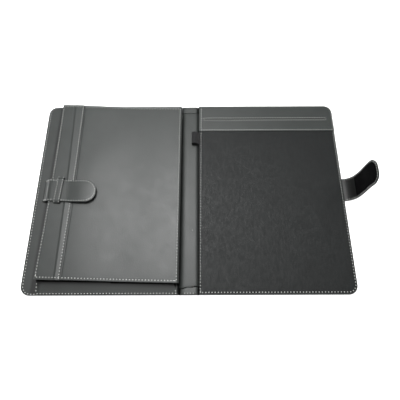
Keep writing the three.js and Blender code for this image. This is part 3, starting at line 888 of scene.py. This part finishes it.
def shell(name, look, slot, rows, thickness):
    """A closed skin of even thickness over rows of points, thin at its borders."""
    count, across = len(rows), len(rows[0])
    grid = [[Vector(p) for p in row] for row in rows]
    upper, lower = [], []
    for j in range(count):
        for i in range(across):
            along = grid[min(j + 1, count - 1)][i] - grid[max(j - 1, 0)][i]
            over = grid[j][min(i + 1, across - 1)] - grid[j][max(i - 1, 0)]
            normal = over.cross(along)
            normal = normal.normalized() if normal.length > 1e-9 else Vector((0, 0, 1))
            border = i in (0, across - 1) or j in (0, count - 1)
            half = thickness / 2 * (0.12 if border else 1.0)
            upper.append(grid[j][i] + normal * half)
            lower.append(grid[j][i] - normal * half)
    return close_grid(name, look, slot, upper, lower, across, count)


# Tongue and keeper

TONGUE_SEAM = 2.0               # edge of the tongue to its seam
KEEPER_SEAM = 1.5


def tongue_line():
    """Side view of the tongue: x and level of its underside, from the sewn end."""
    high = BAND_LEVEL + 1.0
    return soft_curve([
        (-240.7, 5.15), (-237.6, 5.7), (-235.0, 7.6), (-232.6, 10.4), (-230.6, 13.2),
        (-228.4, high - 1.1), (-225.6, high - 0.1), (-221.0, high + 0.05), (-205.0, high),
        (-196.0, high + 0.1), (-188.0, high + 0.9), (-176.0, high + 1.9), (-165.0, high + 2.1),
        (-156.0, high + 1.8), (-150.6, high + 1.5),
    ], 6)


class Track:
    """A curve in the XZ plane that a flat piece is laid along."""

    def __init__(self, line, middle):
        self.line, self.middle = line, middle
        self.runs = [0.0]
        for a, b in zip(line, line[1:]):
            self.runs.append(self.runs[-1] + math.dist(a, b))
        self.total = self.runs[-1]

    def at(self, run):
        """Point and upward normal at a distance along the curve."""
        run = min(max(run, 0.0), self.total)
        i = 0
        while i + 2 < len(self.runs) and self.runs[i + 1] < run:
            i += 1
        part = (run - self.runs[i]) / max(self.runs[i + 1] - self.runs[i], 1e-9)
        (ax, az), (bx, bz) = self.line[i], self.line[i + 1]
        late = part >= 0.5
        before = self._direction(i if late else max(i - 1, 0))
        after = self._direction(min(i + 1, len(self.line) - 2) if late else i)
        weight = part - 0.5 if late else part + 0.5
        dx = before[0] * (1 - weight) + after[0] * weight
        dz = before[1] * (1 - weight) + after[1] * weight
        norm = math.hypot(dx, dz)
        return (ax + (bx - ax) * part, az + (bz - az) * part), (-dz / norm, dx / norm)

    def _direction(self, i):
        (ax, az), (bx, bz) = self.line[i], self.line[i + 1]
        norm = math.hypot(bx - ax, bz - az)
        return (bx - ax) / norm, (bz - az) / norm

    def place(self, run, y, height):
        extra = min(run, 0.0) + max(run - self.total, 0.0)
        (x, z), (nx, nz) = self.at(run)
        return (
            x + nx * height + nz * extra, self.middle(run) + y, z + nz * height - nx * extra,
        )


def tongue_middle(run):
    """The tongue lies slightly askew, most of all where it climbs over the pocket's mouth."""
    knots = ((0.0, 1.2), (8.0, 0.6), (20.0, -2.0), (30.0, -2.8), (70.0, -4.8), (105.0, -5.9))
    return between(knots, run, ease)


def tongue_track():
    return Track(tongue_line(), tongue_middle)


def keeper_line():
    """Section of the keeper: it rises out of the band, crosses the tongue and goes back in."""
    low, high = BAND_LEVEL - 0.5, BAND_LEVEL + 4.0
    half = size("pocket", "tongue_half")
    reach = half + 2.4
    return Track([
        (-reach - 0.2, low), (-reach, low + 1.6), (-reach + 0.9, high - 0.7),
        (-reach + 2.6, high), (-half * 0.5, high + 0.1), (0.0, high + 0.15),
        (half * 0.5, high + 0.5), (reach - 2.8, high + 1.3), (reach - 0.8, high + 0.5),
        (reach, low + 1.6), (reach + 0.2, low),
    ], lambda run: 0.0)


def keeper_place(arch):
    """The keeper's track runs along Y, turned with the tongue."""
    middle = Vector(KEEPER[0]).lerp(Vector(KEEPER[1]), 0.5)
    slope = math.atan(-0.062)

    def place(run, across, height):
        along, _, z = arch.place(run, 0.0, height)
        return (
            middle.x + 0.7 - across * math.cos(slope) - along * math.sin(slope),
            middle.y - 1.5 - across * math.sin(slope) + along * math.cos(slope),
            z,
        )
    return place


# Closing strap

# Distance from the root and angle above the table, in degrees.
STRAP_TURN = ((0, 16), (12, 54), (24, 82), (40, 88), (60, 93), (85, 80), (115, 49))
STRAP_SEAM = 2.2                # edge of the strap to its seam
STRAP_BEND = (31.0, 37.0)       # where the strap bends, along its length


def strap_track():
    """Side view of the strap from inside the cover's edge to its tip."""
    x, z = COVER_EDGE + 1.15, 2.05
    line, run = [(x - 4.0, z - 0.75), (x, z)], 0.0
    while run < size("strap", "total") - 1e-6:
        angle = math.radians(between(STRAP_TURN, run + 0.5))
        x, z, run = x + math.cos(angle), z + math.sin(angle), run + 1.0
        line.append((x, z))
    return Track(line, lambda r: 3.0 - 0.038 * (r - 4.0))


# Pad side

SLIT_ENDS = (26.4, 239.4)
SLIT_SEAM = 2.3                 # middle of the slit to the stitches round it
PAD_SEAM = 2.6                  # lower edge of the band to its seam
PAD_RIM_SEAM = 2.0
LOOP_EDGE = 15.8                # spine middle to where the pen loop is sewn in


def pad_outline():
    start = size("covers", "lining_start") + 0.1
    bottom, inset = COVER_TOP - size("pad_side", "band_height"), 0.6
    radii = (0.8, 2.5, size("covers", "corner") - inset, 0.8)
    return Outline((start, COVER_EDGE - inset), (bottom, COVER_TOP - inset), radii)


def pad_slit_y():
    return COVER_TOP - size("pad_side", "slit_drop")


def pad_top(x, y):
    """Level of the pad band, with its seams and the open slit."""
    sink, outline = size("seams", "sink"), pad_outline()
    slit = abs(y - pad_slit_y())
    z = LINING_LEVEL + 1.15 + 0.12 * wave(x, y, 40.0, 3)
    z -= groove(y - outline.y[0] - PAD_SEAM, sink)
    z -= groove(outline.depth(x, y) - PAD_RIM_SEAM, sink * 0.6)
    if SLIT_ENDS[0] < x < SLIT_ENDS[1]:
        if slit < 0.45:
            return LINING_LEVEL + 0.1
        z -= groove(slit - SLIT_SEAM, sink)
    return z


def pad_bottom(x, y):
    return LINING_LEVEL - 1.0 + 0.9 * clamp((COVER_EDGE - 3.4 - x) / 1.2)


def pen_loop_rows():
    """Section of the pen loop, repeated along its width."""
    ring = [(LOOP_EDGE + out, z) for out, z in (
        (6.0, 4.0), (-0.2, 4.05), (-3.8, 4.35), (-7.8, 5.05), (-10.8, 5.55), (-12.1, 6.5),
        (-12.65, 7.9), (-12.1, 10.0), (-10.3, 11.5), (-7.3, 12.05), (-4.2, 10.9), (-1.9, 8.0),
        (-0.6, 5.4), (0.3, 4.6), (6.0, 4.5),
    )]
    section = [(x + 0.12 * math.sin(z), z) for x, z in soft_curve(ring, 4)]
    low, high = (corner[1] for corner in PEN_LOOP)
    lines = (low + 0.1, low + 0.35, *spread(low + 1, high - 1, 20), high - 0.35, high - 0.1)
    return [[(x, y, z) for x, z in section] for y in lines]


# Operators


class PADFOLIO_OT_stage(bpy.types.Operator):
    """Floor, soft lights and the camera at the photograph's angle"""

    bl_idname = "padfolio.stage"
    bl_label = "Stage"

    def execute(self, context):
        scene = context.scene
        mesh = bpy.data.meshes.new("floor")
        reach, level = 6.0, -0.0006
        corners = ((-reach, -reach), (reach, -reach), (reach, reach), (-reach, reach))
        mesh.from_pydata([(x, y, level) for x, y in corners], [], [(0, 1, 2, 3)])
        mesh.materials.append(finish("floor"))
        put("floor", mesh)

        data = bpy.data.cameras.new("camera")
        data.lens, data.sensor_width = 34.07, 36.0
        data.clip_start, data.clip_end = 0.01, 50.0
        camera = put("camera", data)
        tilt, turn, roll = math.radians(68.59), math.radians(-0.16), math.radians(-0.36)
        ahead = Vector((
            math.sin(turn) * math.cos(tilt), math.cos(turn) * math.cos(tilt), -math.sin(tilt),
        ))
        right = Vector((math.cos(turn), -math.sin(turn), 0.0))
        up = right.cross(ahead)
        across = right * math.cos(roll) + up * math.sin(roll)
        upward = up * math.cos(roll) - right * math.sin(roll)
        turned = Matrix((across, upward, -ahead)).transposed().to_4x4()
        camera.matrix_world = Matrix.Translation((0.01757, -0.2417, 0.5828)) @ turned
        scene.camera = camera

        # Name, place, aim, width, power, and whether it shows in reflections.
        lamps = (
            ("sheen_light", (-0.14, 0.345, 1.35), (-0.05, -0.02, 0.0), 0.6, 18.6, True),
            ("key_light", (-0.50, 1.0, 1.0), (0.0, 0.0, 0.0), 0.5, 22.0, False),
            ("front_light", (-0.7, -1.3, 1.2), (0.0, 0.0, 0.0), 1.4, 4.0, True),
            ("side_light", (1.4, 0.2, 1.1), (0.05, 0.0, 0.0), 1.2, 1.2, True),
        )
        for name, place, aim, width, power, mirrored in lamps:
            lamp = bpy.data.lights.new(name, "AREA")
            lamp.shape, lamp.size, lamp.energy = "SQUARE", width, power
            made = put(name, lamp)
            made.location = place
            made.rotation_euler = (Vector(aim) - Vector(place)).to_track_quat("-Z", "Y").to_euler()
            made.visible_glossy = mirrored

        world = scene.world or bpy.data.worlds.new("surroundings")
        scene.world = world
        world.use_nodes = True
        back = world.node_tree.nodes["Background"]
        back.inputs["Color"].default_value = (1.0, 1.0, 1.0, 1.0)
        back.inputs["Strength"].default_value = 0.31
        scene.view_settings.view_transform = "Standard"
        return {"FINISHED"}


class PADFOLIO_OT_covers(bpy.types.Operator):
    """Outer leather of both covers and the spine, in two halves"""

    bl_idname = "padfolio.covers"
    bl_label = "Outer leather"

    def execute(self, context):
        outer_leather("back_outer_leather", 1, BACK, ("back_cover_skin", "spine_skin"))
        outer_leather("front_outer_leather", -1, FRONT, ("front_cover_skin",))
        for look, names in (
            ("board", ("back_cover_board", "front_cover_board", "spine_board")),
            ("foam", ("back_cover_foam", "front_cover_foam")),
            ("leather", ("strap_anchor",)),
        ):
            for name in names:
                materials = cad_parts[name].data.materials
                materials.clear()
                materials.append(finish(look))
        return {"FINISHED"}


class PADFOLIO_OT_linings(bpy.types.Operator):
    """Leather lining of the left cover and fabric panel of the right one"""

    bl_idname = "padfolio.linings"
    bl_label = "Linings"

    def execute(self, context):
        for name, sign, side, look, slot, node, body in (
            ("front_lining_leather", -1, "left_inset", "margin", "inner_leather",
             "front_cover_lining", FRONT),
            ("back_lining_cloth", 1, "right_inset", "cloth", "panel_fabric",
             "back_cover_lining", BACK),
        ):
            outline, seam = lining_outline(sign, size("covers", side)), LINING_SEAM[body]
            xs = [outline.x[0] + seam, outline.x[1] - seam]
            ys = [outline.y[0] + seam, outline.y[1] - seam]
            piece = sheet(
                name, look, slot, outline, lambda x, y: RIM_LEVEL - 0.25,
                lining_top(sign, outline, seam, LINING_RIPPLE[body]), 1.1,
                step=9.0, corner=max(outline.radii), seams=(xs, ys),
            )
            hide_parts(node)
            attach(piece, body)
            # Painted shade: the lining's edge beside the spine gets the near-black finish.
            if look == "margin":
                paint_shade(piece, "fold", lambda cx, cy, cz: cx > -18.0)
            if look == "cloth":
                cut = (outline.x[1] - outline.x[0], outline.y[1] - outline.y[0])
                mm(cut[0])
                mm(cut[1])
        return {"FINISHED"}


class PADFOLIO_OT_gutter(bpy.types.Operator):
    """Bowed leather of the gutter, in two halves that run down into the folds"""

    bl_idname = "padfolio.gutter"
    bl_label = "Gutter leather"

    def execute(self, context):
        half, wall = 150.0, WALL_X - 0.3

        def level(x, y):
            if abs(x) > wall:
                return 1.0 + 3.3 * min((abs(x) - wall) / 0.6, 1.0)
            return gutter_level(x, y)

        for name, sign, body in (
            ("gutter_leather_right", 1, BACK), ("gutter_leather_left", -1, FRONT),
        ):
            x = (0.0, GUTTER_REACH) if sign > 0 else (-GUTTER_REACH, 0.0)
            piece = sheet(
                name, "gutter", "leather",
                Outline(x, (-half, half), (0, 0, 0, 0), ("high_x", "low_x")),
                lambda x, y: max(level(x, y) - 1.1, 0.91),
                lambda x, y: level(x, y) + 0.10 * wave(x, y, 30.0, 9), 0.8, step=7.0,
                extra=([sign * v for v in (*spread(0.0, 14.4, 32), 14.65, 14.9, 15.2)], ()),
                place=lambda x, y, z: (x, y * gutter_end(x, y) / half, z),
            )
            # Painted shade: the gutter's leather down in the folds gets the near-black finish.
            paint_shade(piece, "fold", lambda cx, cy, cz: abs(cx) > FOLD_X + 1.3)
            if sign > 0:
                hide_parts("gutter_lining")
            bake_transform(piece)
        return {"FINISHED"}


class PADFOLIO_OT_pocket(bpy.types.Operator):
    """Bellows pocket: folded gusset, front panel and facing band"""

    bl_idname = "padfolio.pocket"
    bl_label = "Document pocket"

    def execute(self, context):
        inset, width = size("pocket", "seam_inset"), size("pocket", "band_width")
        rows = [gusset_section(*ring) for ring in gusset_rings()]
        gusset = shell("pocket_gusset_leather", "gusset", "inner_leather", rows, 0.9)
        slope = GUSSET_SLOPE[0]
        # Painted shade: the strip under the panel's edge and beside the spine gets the near-black
        # finish.
        paint_shade(gusset, "fold", lambda x, y, z: abs(y + slope * x) < 152.9 or x > -17.6)
        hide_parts("pocket_gusset")
        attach(gusset, FRONT)
        yield_to_spine(gusset)

        outline = Outline((0.0, PANEL_WIDTH), (0.0, PANEL_HEIGHT), (1.5, 1.5, 1.5, 1.5))
        cross = [inset + END_SEAM, PANEL_HEIGHT - inset - END_SEAM]
        panel = sheet(
            "pocket_panel_leather", "leather", "leather", outline, panel_base, panel_top, 0.9,
            step=7.0, seams=([PANEL_WIDTH - SPINE_SEAM, width + 0.7], cross), place=panel_place,
        )
        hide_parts("pocket_front_panel")
        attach(panel, FRONT)
        yield_to_spine(panel)

        outline = Outline((0.0, width), (-0.4, PANEL_HEIGHT + 0.4), (1.2, 0.6, 0.6, 1.2))
        band = sheet(
            "pocket_band_leather", "leather", "leather", outline, band_base, band_top, 0.7,
            step=6.0, extra=(spread(18.0, 34.0, 24), ()), seams=([inset, width - inset], cross),
            place=panel_place,
        )
        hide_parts("pocket_band")
        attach(band, FRONT)
        yield_to_spine(band)
        return {"FINISHED"}


class PADFOLIO_OT_tongue(bpy.types.Operator):
    """Tongue over the pocket's mouth, and the keeper that holds it"""

    bl_idname = "padfolio.tongue"
    bl_label = "Tongue and keeper"

    def execute(self, context):
        half, sink = size("pocket", "tongue_half"), size("seams", "sink")
        track = tongue_track()
        radii = (0.8, half - 1.2, half - 1.2, 0.8)
        outline = Outline((0.0, track.total), (-half, half), radii)

        def face_top(x, y):
            depth = outline.depth(x, y)
            return 2.3 + 0.35 * min(depth / 6.0, 1.0) - groove(depth - TONGUE_SEAM, sink)

        tip = [track.total - v for v in (1, 2.2, 3.6, 5.2, 7, 9, 11.2, 13.6, 16)]
        sides = [half - TONGUE_SEAM, TONGUE_SEAM - half, half - 3, 3 - half]
        for name, look, slot, low, high, node in (
            ("tongue_back_leather", "inner", "inner_leather", lambda x, y: 0.0,
             lambda x, y: 1.1, "tongue_backing"),
            ("tongue_face_leather", "leather", "leather", lambda x, y: 1.05, face_top,
             "tongue_face"),
        ):
            piece = sheet(
                name, look, slot, outline, low, high, 0.75, step=2.4, extra=(tip, sides),
                place=track.place,
            )
            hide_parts(node)
            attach(piece, FRONT)

        arch = keeper_line()
        reach = size("pocket", "keeper_width") / 2
        seam = reach - KEEPER_SEAM
        keeper = sheet(
            "tongue_keeper_leather", "leather", "leather",
            Outline((0.0, arch.total), (-reach, reach)), lambda x, y: 0.0,
            lambda x, y: 1.25 - groove(reach - abs(y) - KEEPER_SEAM, sink * 0.7),
            0.7, step=1.6, seams=((), (seam, -seam)), place=keeper_place(arch),
        )
        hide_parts("tongue_keeper")
        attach(keeper, FRONT)
        return {"FINISHED"}


class PADFOLIO_OT_pad_side(bpy.types.Operator):
    """Leather band that holds the writing pad, and the elastic pen loop"""

    bl_idname = "padfolio.pad_side"
    bl_label = "Pad band and pen loop"

    def execute(self, context):
        outline, slit = pad_outline(), pad_slit_y()
        across = [26.0, 26.8, 27.6, 238.2, 239.0, 239.8]
        cross = [slit + v for v in (-0.9, -0.5, -0.3, 0.3, 0.5, 0.9)]
        piece = sheet(
            "pad_band_leather", "leather", "leather", outline, pad_bottom, pad_top, 1.0,
            step=7.0, corner=outline.radii[2], extra=(across, cross),
            seams=((outline.x[0] + 3.8,), (outline.y[0] + PAD_SEAM, outline.y[1] - PAD_RIM_SEAM)),
        )
        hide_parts("pad_band")
        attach(piece, BACK)

        loop = shell("pen_loop_elastic", "elastic", "elastic", pen_loop_rows(), 1.15)
        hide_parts("pen_loop")
        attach(loop, BACK)
        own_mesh(loop)
        return {"FINISHED"}


class PADFOLIO_OT_strap(bpy.types.Operator):
    """Closing strap with its lining and hook pad, and the loop pad on the front cover"""

    bl_idname = "padfolio.strap"
    bl_label = "Closing strap"

    def execute(self, context):
        half, tip, sink = size("strap", "half"), size("strap", "tip"), size("seams", "sink")
        track = strap_track()
        outline = Outline((0.0, track.total), (-half, half), (0, tip, tip, 0), ("low_x",))
        tip_lines = [track.total - tip * v / 8 for v in range(1, 9)]
        side_lines = [s * (half - tip * v / 8) for v in range(1, 9) for s in (-1, 1)]
        side_lines += [half - STRAP_SEAM, STRAP_SEAM - half]
        crease = spread(30.0, 38.0, 8)
        (x0, z0), (x1, z1) = (track.at(run)[0] for run in STRAP_BEND)

        def face_low(x, y):
            depth = outline.depth(x, y)
            return -0.75 - 0.5 * min(depth / 5.0, 1.0) + groove(depth - STRAP_SEAM, sink)

        def lining_high(x, y):
            return 0.85 - groove(outline.depth(x, y) - STRAP_SEAM, sink)

        for name, look, slot, low, high, nodes in (
            ("strap_face_leather", "leather", "leather", face_low, lambda x, y: 0.05,
             ("strap_base_face", "strap_flap_face")),
            ("strap_lining_leather", "strap_inner", "inner_leather", lambda x, y: 0.0,
             lining_high, ("strap_base_lining", "strap_flap_lining")),
        ):
            piece = sheet(
                name, look, slot, outline, low, high, 0.8, step=3.0,
                extra=(tip_lines + crease, side_lines), place=track.place,
            )
            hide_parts(*nodes)
            mm(x0)
            mm(z0)
            mm(x1)
            mm(z1)
            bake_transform(piece)

        inset = size("strap", "pad_inset")
        pad_half, pad_tip, end = half - inset, tip - inset, track.total - inset
        pad = Outline((27.0, end), (-pad_half, pad_half), (2.0, pad_tip, pad_tip, 2.0))
        lines = [end - pad_tip * v / 6 for v in range(1, 7)]
        sides = [s * (pad_half - pad_tip * v / 6) for v in range(1, 7) for s in (-1, 1)]
        hooks = sheet(
            "strap_hook_tape", "hooks", "hook_and_loop", pad, lambda x, y: 0.8,
            lambda x, y: 1.75, 0.6, step=3.0, extra=(lines, sides), place=track.place,
        )
        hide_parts("strap_hook_pad")
        mm(x0)
        mm(z0)
        mm(x1)
        mm(z1)
        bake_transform(hooks)

        x, y, _ = zip(*LOOP_PAD)
        lines, cross = ([a + 1, a + 2, b - 1, b - 2] for a, b in (x, y))
        loops = sheet(
            "cover_loop_tape", "loops", "hook_and_loop", Outline(x, y, (3, 3, 3, 3)),
            lambda x, y: 0.02, lambda x, y: 0.6, 0.5, step=5.0, extra=(lines, cross),
        )
        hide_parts("front_cover_loop_pad")
        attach(loops, FRONT)
        return {"FINISHED"}


class PADFOLIO_OT_seams(bpy.types.Operator):
    """Contrast stitching of every seam"""

    bl_idname = "padfolio.seams"
    bl_label = "Seams"

    def execute(self, context):
        self.pitch, self.fine = size("seams", "pitch"), size("seams", "fine_pitch")
        self.rim_seams()
        self.spine_seams()
        self.pocket_seams()
        self.gusset_seams()
        self.tongue_seams()
        self.pad_seams()
        self.strap_seams()
        return {"FINISHED"}

    def rim_seams(self):
        upper = COVER_TOP - size("pad_side", "band_height") - 2.0
        for name, sign, side, draw_in, body in (
            ("front_rim_seam", -1, "left_inset", 2.4, FRONT),
            ("back_rim_seam", 1, "right_inset", 0.0, BACK),
        ):
            outline = lining_outline(sign, size("covers", side))
            inset = size("covers", side) + LINING_SEAM[body]
            level = lining_top(sign, outline, LINING_SEAM[body], 0.12)
            top = COVER_TOP - inset
            far, radius = COVER_EDGE - inset - draw_in, size("covers", "corner") - inset
            rim = [(RIM_START, -top), *round_path(far, top, radius), (RIM_START, top)]

            def on_lining(x, y):
                return x, y, level(x, y)

            seam = Seam(name, body)
            if sign < 0:
                seam.run(on_lining, [(-x, y) for x, y in rim], self.pitch)
            else:
                path = [p for p in rim if p[1] < upper + 2.0] + [(far, upper)]
                left, foot = outline.x[0] + 1.5, -top - 1.5
                seam.run(on_lining, path, self.pitch)
                seam.run(
                    on_lining, [(left, foot), (left + 1.3, 0.0), (left + 2.3, upper)], self.pitch,
                )
                seam.run(
                    lambda x, y: (x + 0.3, y, level(x, y) + 0.2),
                    [(left, foot), (left, -top + 5.0)], self.pitch * BACK_TACK,
                )
            seam.write()
            under = Seam(name + "_outside", body)
            under.run(
                lambda x, y: (-x, y, 0.22), [(-sign * x, y) for x, y in rim], self.pitch, lift=0.0,
            )
            under.write()

    def spine_seams(self):
        seam = Seam("spine_end_seams", SPINE)
        for y in (HEM_SEAM - COVER_TOP, COVER_TOP - HEM_SEAM):
            seam.run(
                lambda px, py: (px, py, cover_top_level(px, py)),
                [(-HEM_SEAM_HALF, y), (HEM_SEAM_HALF, y)], self.pitch,
            )
        # A short light mark on the gutter, drawn as two tiny stitches of thread.
        seam.run(lambda px, py: (px, py, gutter_level(px, py)), [(4.3, -67.5), (4.6, -65.0)], 2.5,
                 slant=30.0)
        seam.write()

    def pocket_seams(self):
        inset, width = size("pocket", "seam_inset"), size("pocket", "band_width")
        seam = Seam("pocket_seams", FRONT)

        def on_band(x, y, lift=0.0):
            return panel_place(x, y, band_top(x, y) + lift)

        def on_panel(x, y, lift=0.0):
            return panel_place(x, y, panel_top(x, y) + lift)

        foot = inset + END_SEAM
        head = PANEL_HEIGHT - foot
        right, inner = PANEL_WIDTH - SPINE_SEAM, width - inset
        for path in (
            [(inset, foot), (inset, head)], [(inner, 1.0), (inner, PANEL_HEIGHT - 1)],
            [(inset, foot), (width, foot)], [(inset, head), (width, head)],
        ):
            seam.run(on_band, path, self.pitch)
        seam.run(
            on_panel, [(width + 0.6, foot), (right, foot), (right, head), (width + 0.6, head)],
            self.pitch,
        )
        for x, y in ((inset + 0.4, foot), (inner + 0.4, 0.5)):
            seam.run(lambda px, py: on_band(px, py, BACK_TACK_LIFT), [(x, y), (x, y + 5.5)],
                     self.pitch * BACK_TACK)
        seam.run(lambda px, py: on_panel(px, py, BACK_TACK_LIFT),
                 [(right, foot), (right - 6.0, foot)], self.pitch * BACK_TACK)
        yield_to_spine(seam.write())

    def gusset_seams(self):
        seam = Seam("gusset_seams", FRONT)
        start = gusset_rings()[0][0][0] + 1.5
        low, edge = LINING_LEVEL + 0.8, COVER_TOP - 2.5

        def flat(x, y):
            return x, y, low

        for y in (-edge, edge):
            seam.run(flat, [(start, y), (-17.5, y)], self.pitch)
        for side in (-1, 1):
            seam.run(
                lambda px, py: (px, py, low + 0.10 * (edge - abs(py))),
                [(start + 0.1, side * (edge - 2.0)), (start - 0.2, side * (edge - 17.0))],
                self.pitch,
            )
        seam.run(flat, [(-20.3, 1.5 - edge), (-19.4, 10.0 - edge)], self.pitch * 0.8)
        seam.write()

    def tongue_seams(self):
        track = tongue_track()
        radius = size("pocket", "tongue_half") - TONGUE_SEAM
        seam = Seam("tongue_seams", FRONT)
        tip = arc(track.total - TONGUE_SEAM - radius, 0.0, radius, -90, 90, 12)
        path = [(TONGUE_SEAM, -radius), *tip, (TONGUE_SEAM, radius)]
        seam.run(lambda x, y: track.place(x, y, 2.4), path, self.fine, lift=0.08)
        arch = keeper_line()
        place = keeper_place(arch)
        y = size("pocket", "keeper_width") / 2 - KEEPER_SEAM
        for side in (-y, y):
            seam.run(lambda px, py: place(px, py, 1.25), [(2.5, side), (arch.total - 2.5, side)],
                     self.fine)
        seam.write()

    def pad_seams(self):
        outline = pad_outline()
        seam = Seam("pad_band_seams", BACK)

        def on_band(x, y):
            return x, y, pad_top(x, y)

        left, low = outline.x[0], outline.y[0] + PAD_SEAM
        right, top = outline.x[1] - PAD_RIM_SEAM, outline.y[1] - PAD_RIM_SEAM
        radius = outline.radii[2] - PAD_RIM_SEAM
        corner = arc(right - radius, top - radius, radius, 0, 90)
        slit = pad_slit_y()
        for path in (
            [(left + 2.0, low), (outline.x[1] - 1.6, low)],
            [(right, low + 3.0), *corner, (left + 2.0, top)],
            [(left + 3.8, low + 3.0), (left + 4.2, top - 3.0)],
        ):
            seam.run(on_band, path, self.pitch)
        ring = arc(SLIT_ENDS[0], slit, SLIT_SEAM, 90, 270, 6)
        ring += arc(SLIT_ENDS[1], slit, SLIT_SEAM, -90, 90, 6)
        seam.run(on_band, ring, self.pitch * 0.94, closed=True)
        seam.write()

    def strap_seams(self):
        track = strap_track()
        right, top = track.total - STRAP_SEAM, size("strap", "half") - STRAP_SEAM
        tip = round_path(right, top, size("strap", "tip") - STRAP_SEAM)
        base = ([(5.5, -top), (33.0, -top)], [(5.5, top), (33.0, top)])
        flap = ([(35.0, -top), *tip, (35.0, top)],)
        for name, paths, body in (
            ("strap_base_seams", base, STRAP_BASE), ("strap_flap_seams", flap, STRAP_FLAP),
        ):
            seam = Seam(name, body)
            for surface in (
                lambda x, y: track.place(x, y, 0.72), lambda x, y: track.place(x, -y, -1.02),
            ):
                for path in paths:
                    seam.run(surface, path, self.fine, lift=0.08)
            seam.write()


class PADFOLIO_PT_panel(bpy.types.Panel):
    """Sizes, colours and makers of the padfolio"""

    bl_idname = "PADFOLIO_PT_panel"
    bl_label = "Padfolio"
    bl_space_type = "VIEW_3D"
    bl_region_type = "UI"
    bl_category = "Padfolio"

    def draw(self, context):
        layout, scene = self.layout, context.scene
        for title, group in SETTINGS.items():
            box = layout.box()
            box.label(text=title.replace("_", " ").capitalize())
            settings = getattr(scene, "padfolio_" + title)
            for key in group.__annotations__:
                box.prop(settings, key)
        for maker in MAKERS:
            layout.operator(maker.bl_idname)


SETTINGS = {
    "covers": PADFOLIO_PG_covers,
    "pocket": PADFOLIO_PG_pocket,
    "pad_side": PADFOLIO_PG_pad_side,
    "strap": PADFOLIO_PG_strap,
    "seams": PADFOLIO_PG_seams,
    "colours": PADFOLIO_PG_colours,
}
MAKERS = (
    PADFOLIO_OT_stage,
    PADFOLIO_OT_covers,
    PADFOLIO_OT_linings,
    PADFOLIO_OT_gutter,
    PADFOLIO_OT_pocket,
    PADFOLIO_OT_tongue,
    PADFOLIO_OT_pad_side,
    PADFOLIO_OT_strap,
    PADFOLIO_OT_seams,
)


def register():
    for title, group in SETTINGS.items():
        bpy.utils.register_class(group)
        setattr(bpy.types.Scene, "padfolio_" + title, bpy.props.PointerProperty(type=group))
    for maker in MAKERS:
        bpy.utils.register_class(maker)
    bpy.utils.register_class(PADFOLIO_PT_panel)


def unregister():
    bpy.utils.unregister_class(PADFOLIO_PT_panel)
    for maker in reversed(MAKERS):
        bpy.utils.unregister_class(maker)
    for title, group in reversed(SETTINGS.items()):
        delattr(bpy.types.Scene, "padfolio_" + title)
        bpy.utils.unregister_class(group)


def main():
    register()
    for maker in MAKERS:
        family, name = maker.bl_idname.split(".")
        result = getattr(getattr(bpy.ops, family), name)()
        if result != {"FINISHED"}:
            raise RuntimeError(maker.bl_idname + " did not finish")


if __name__ == "__main__":
    main()
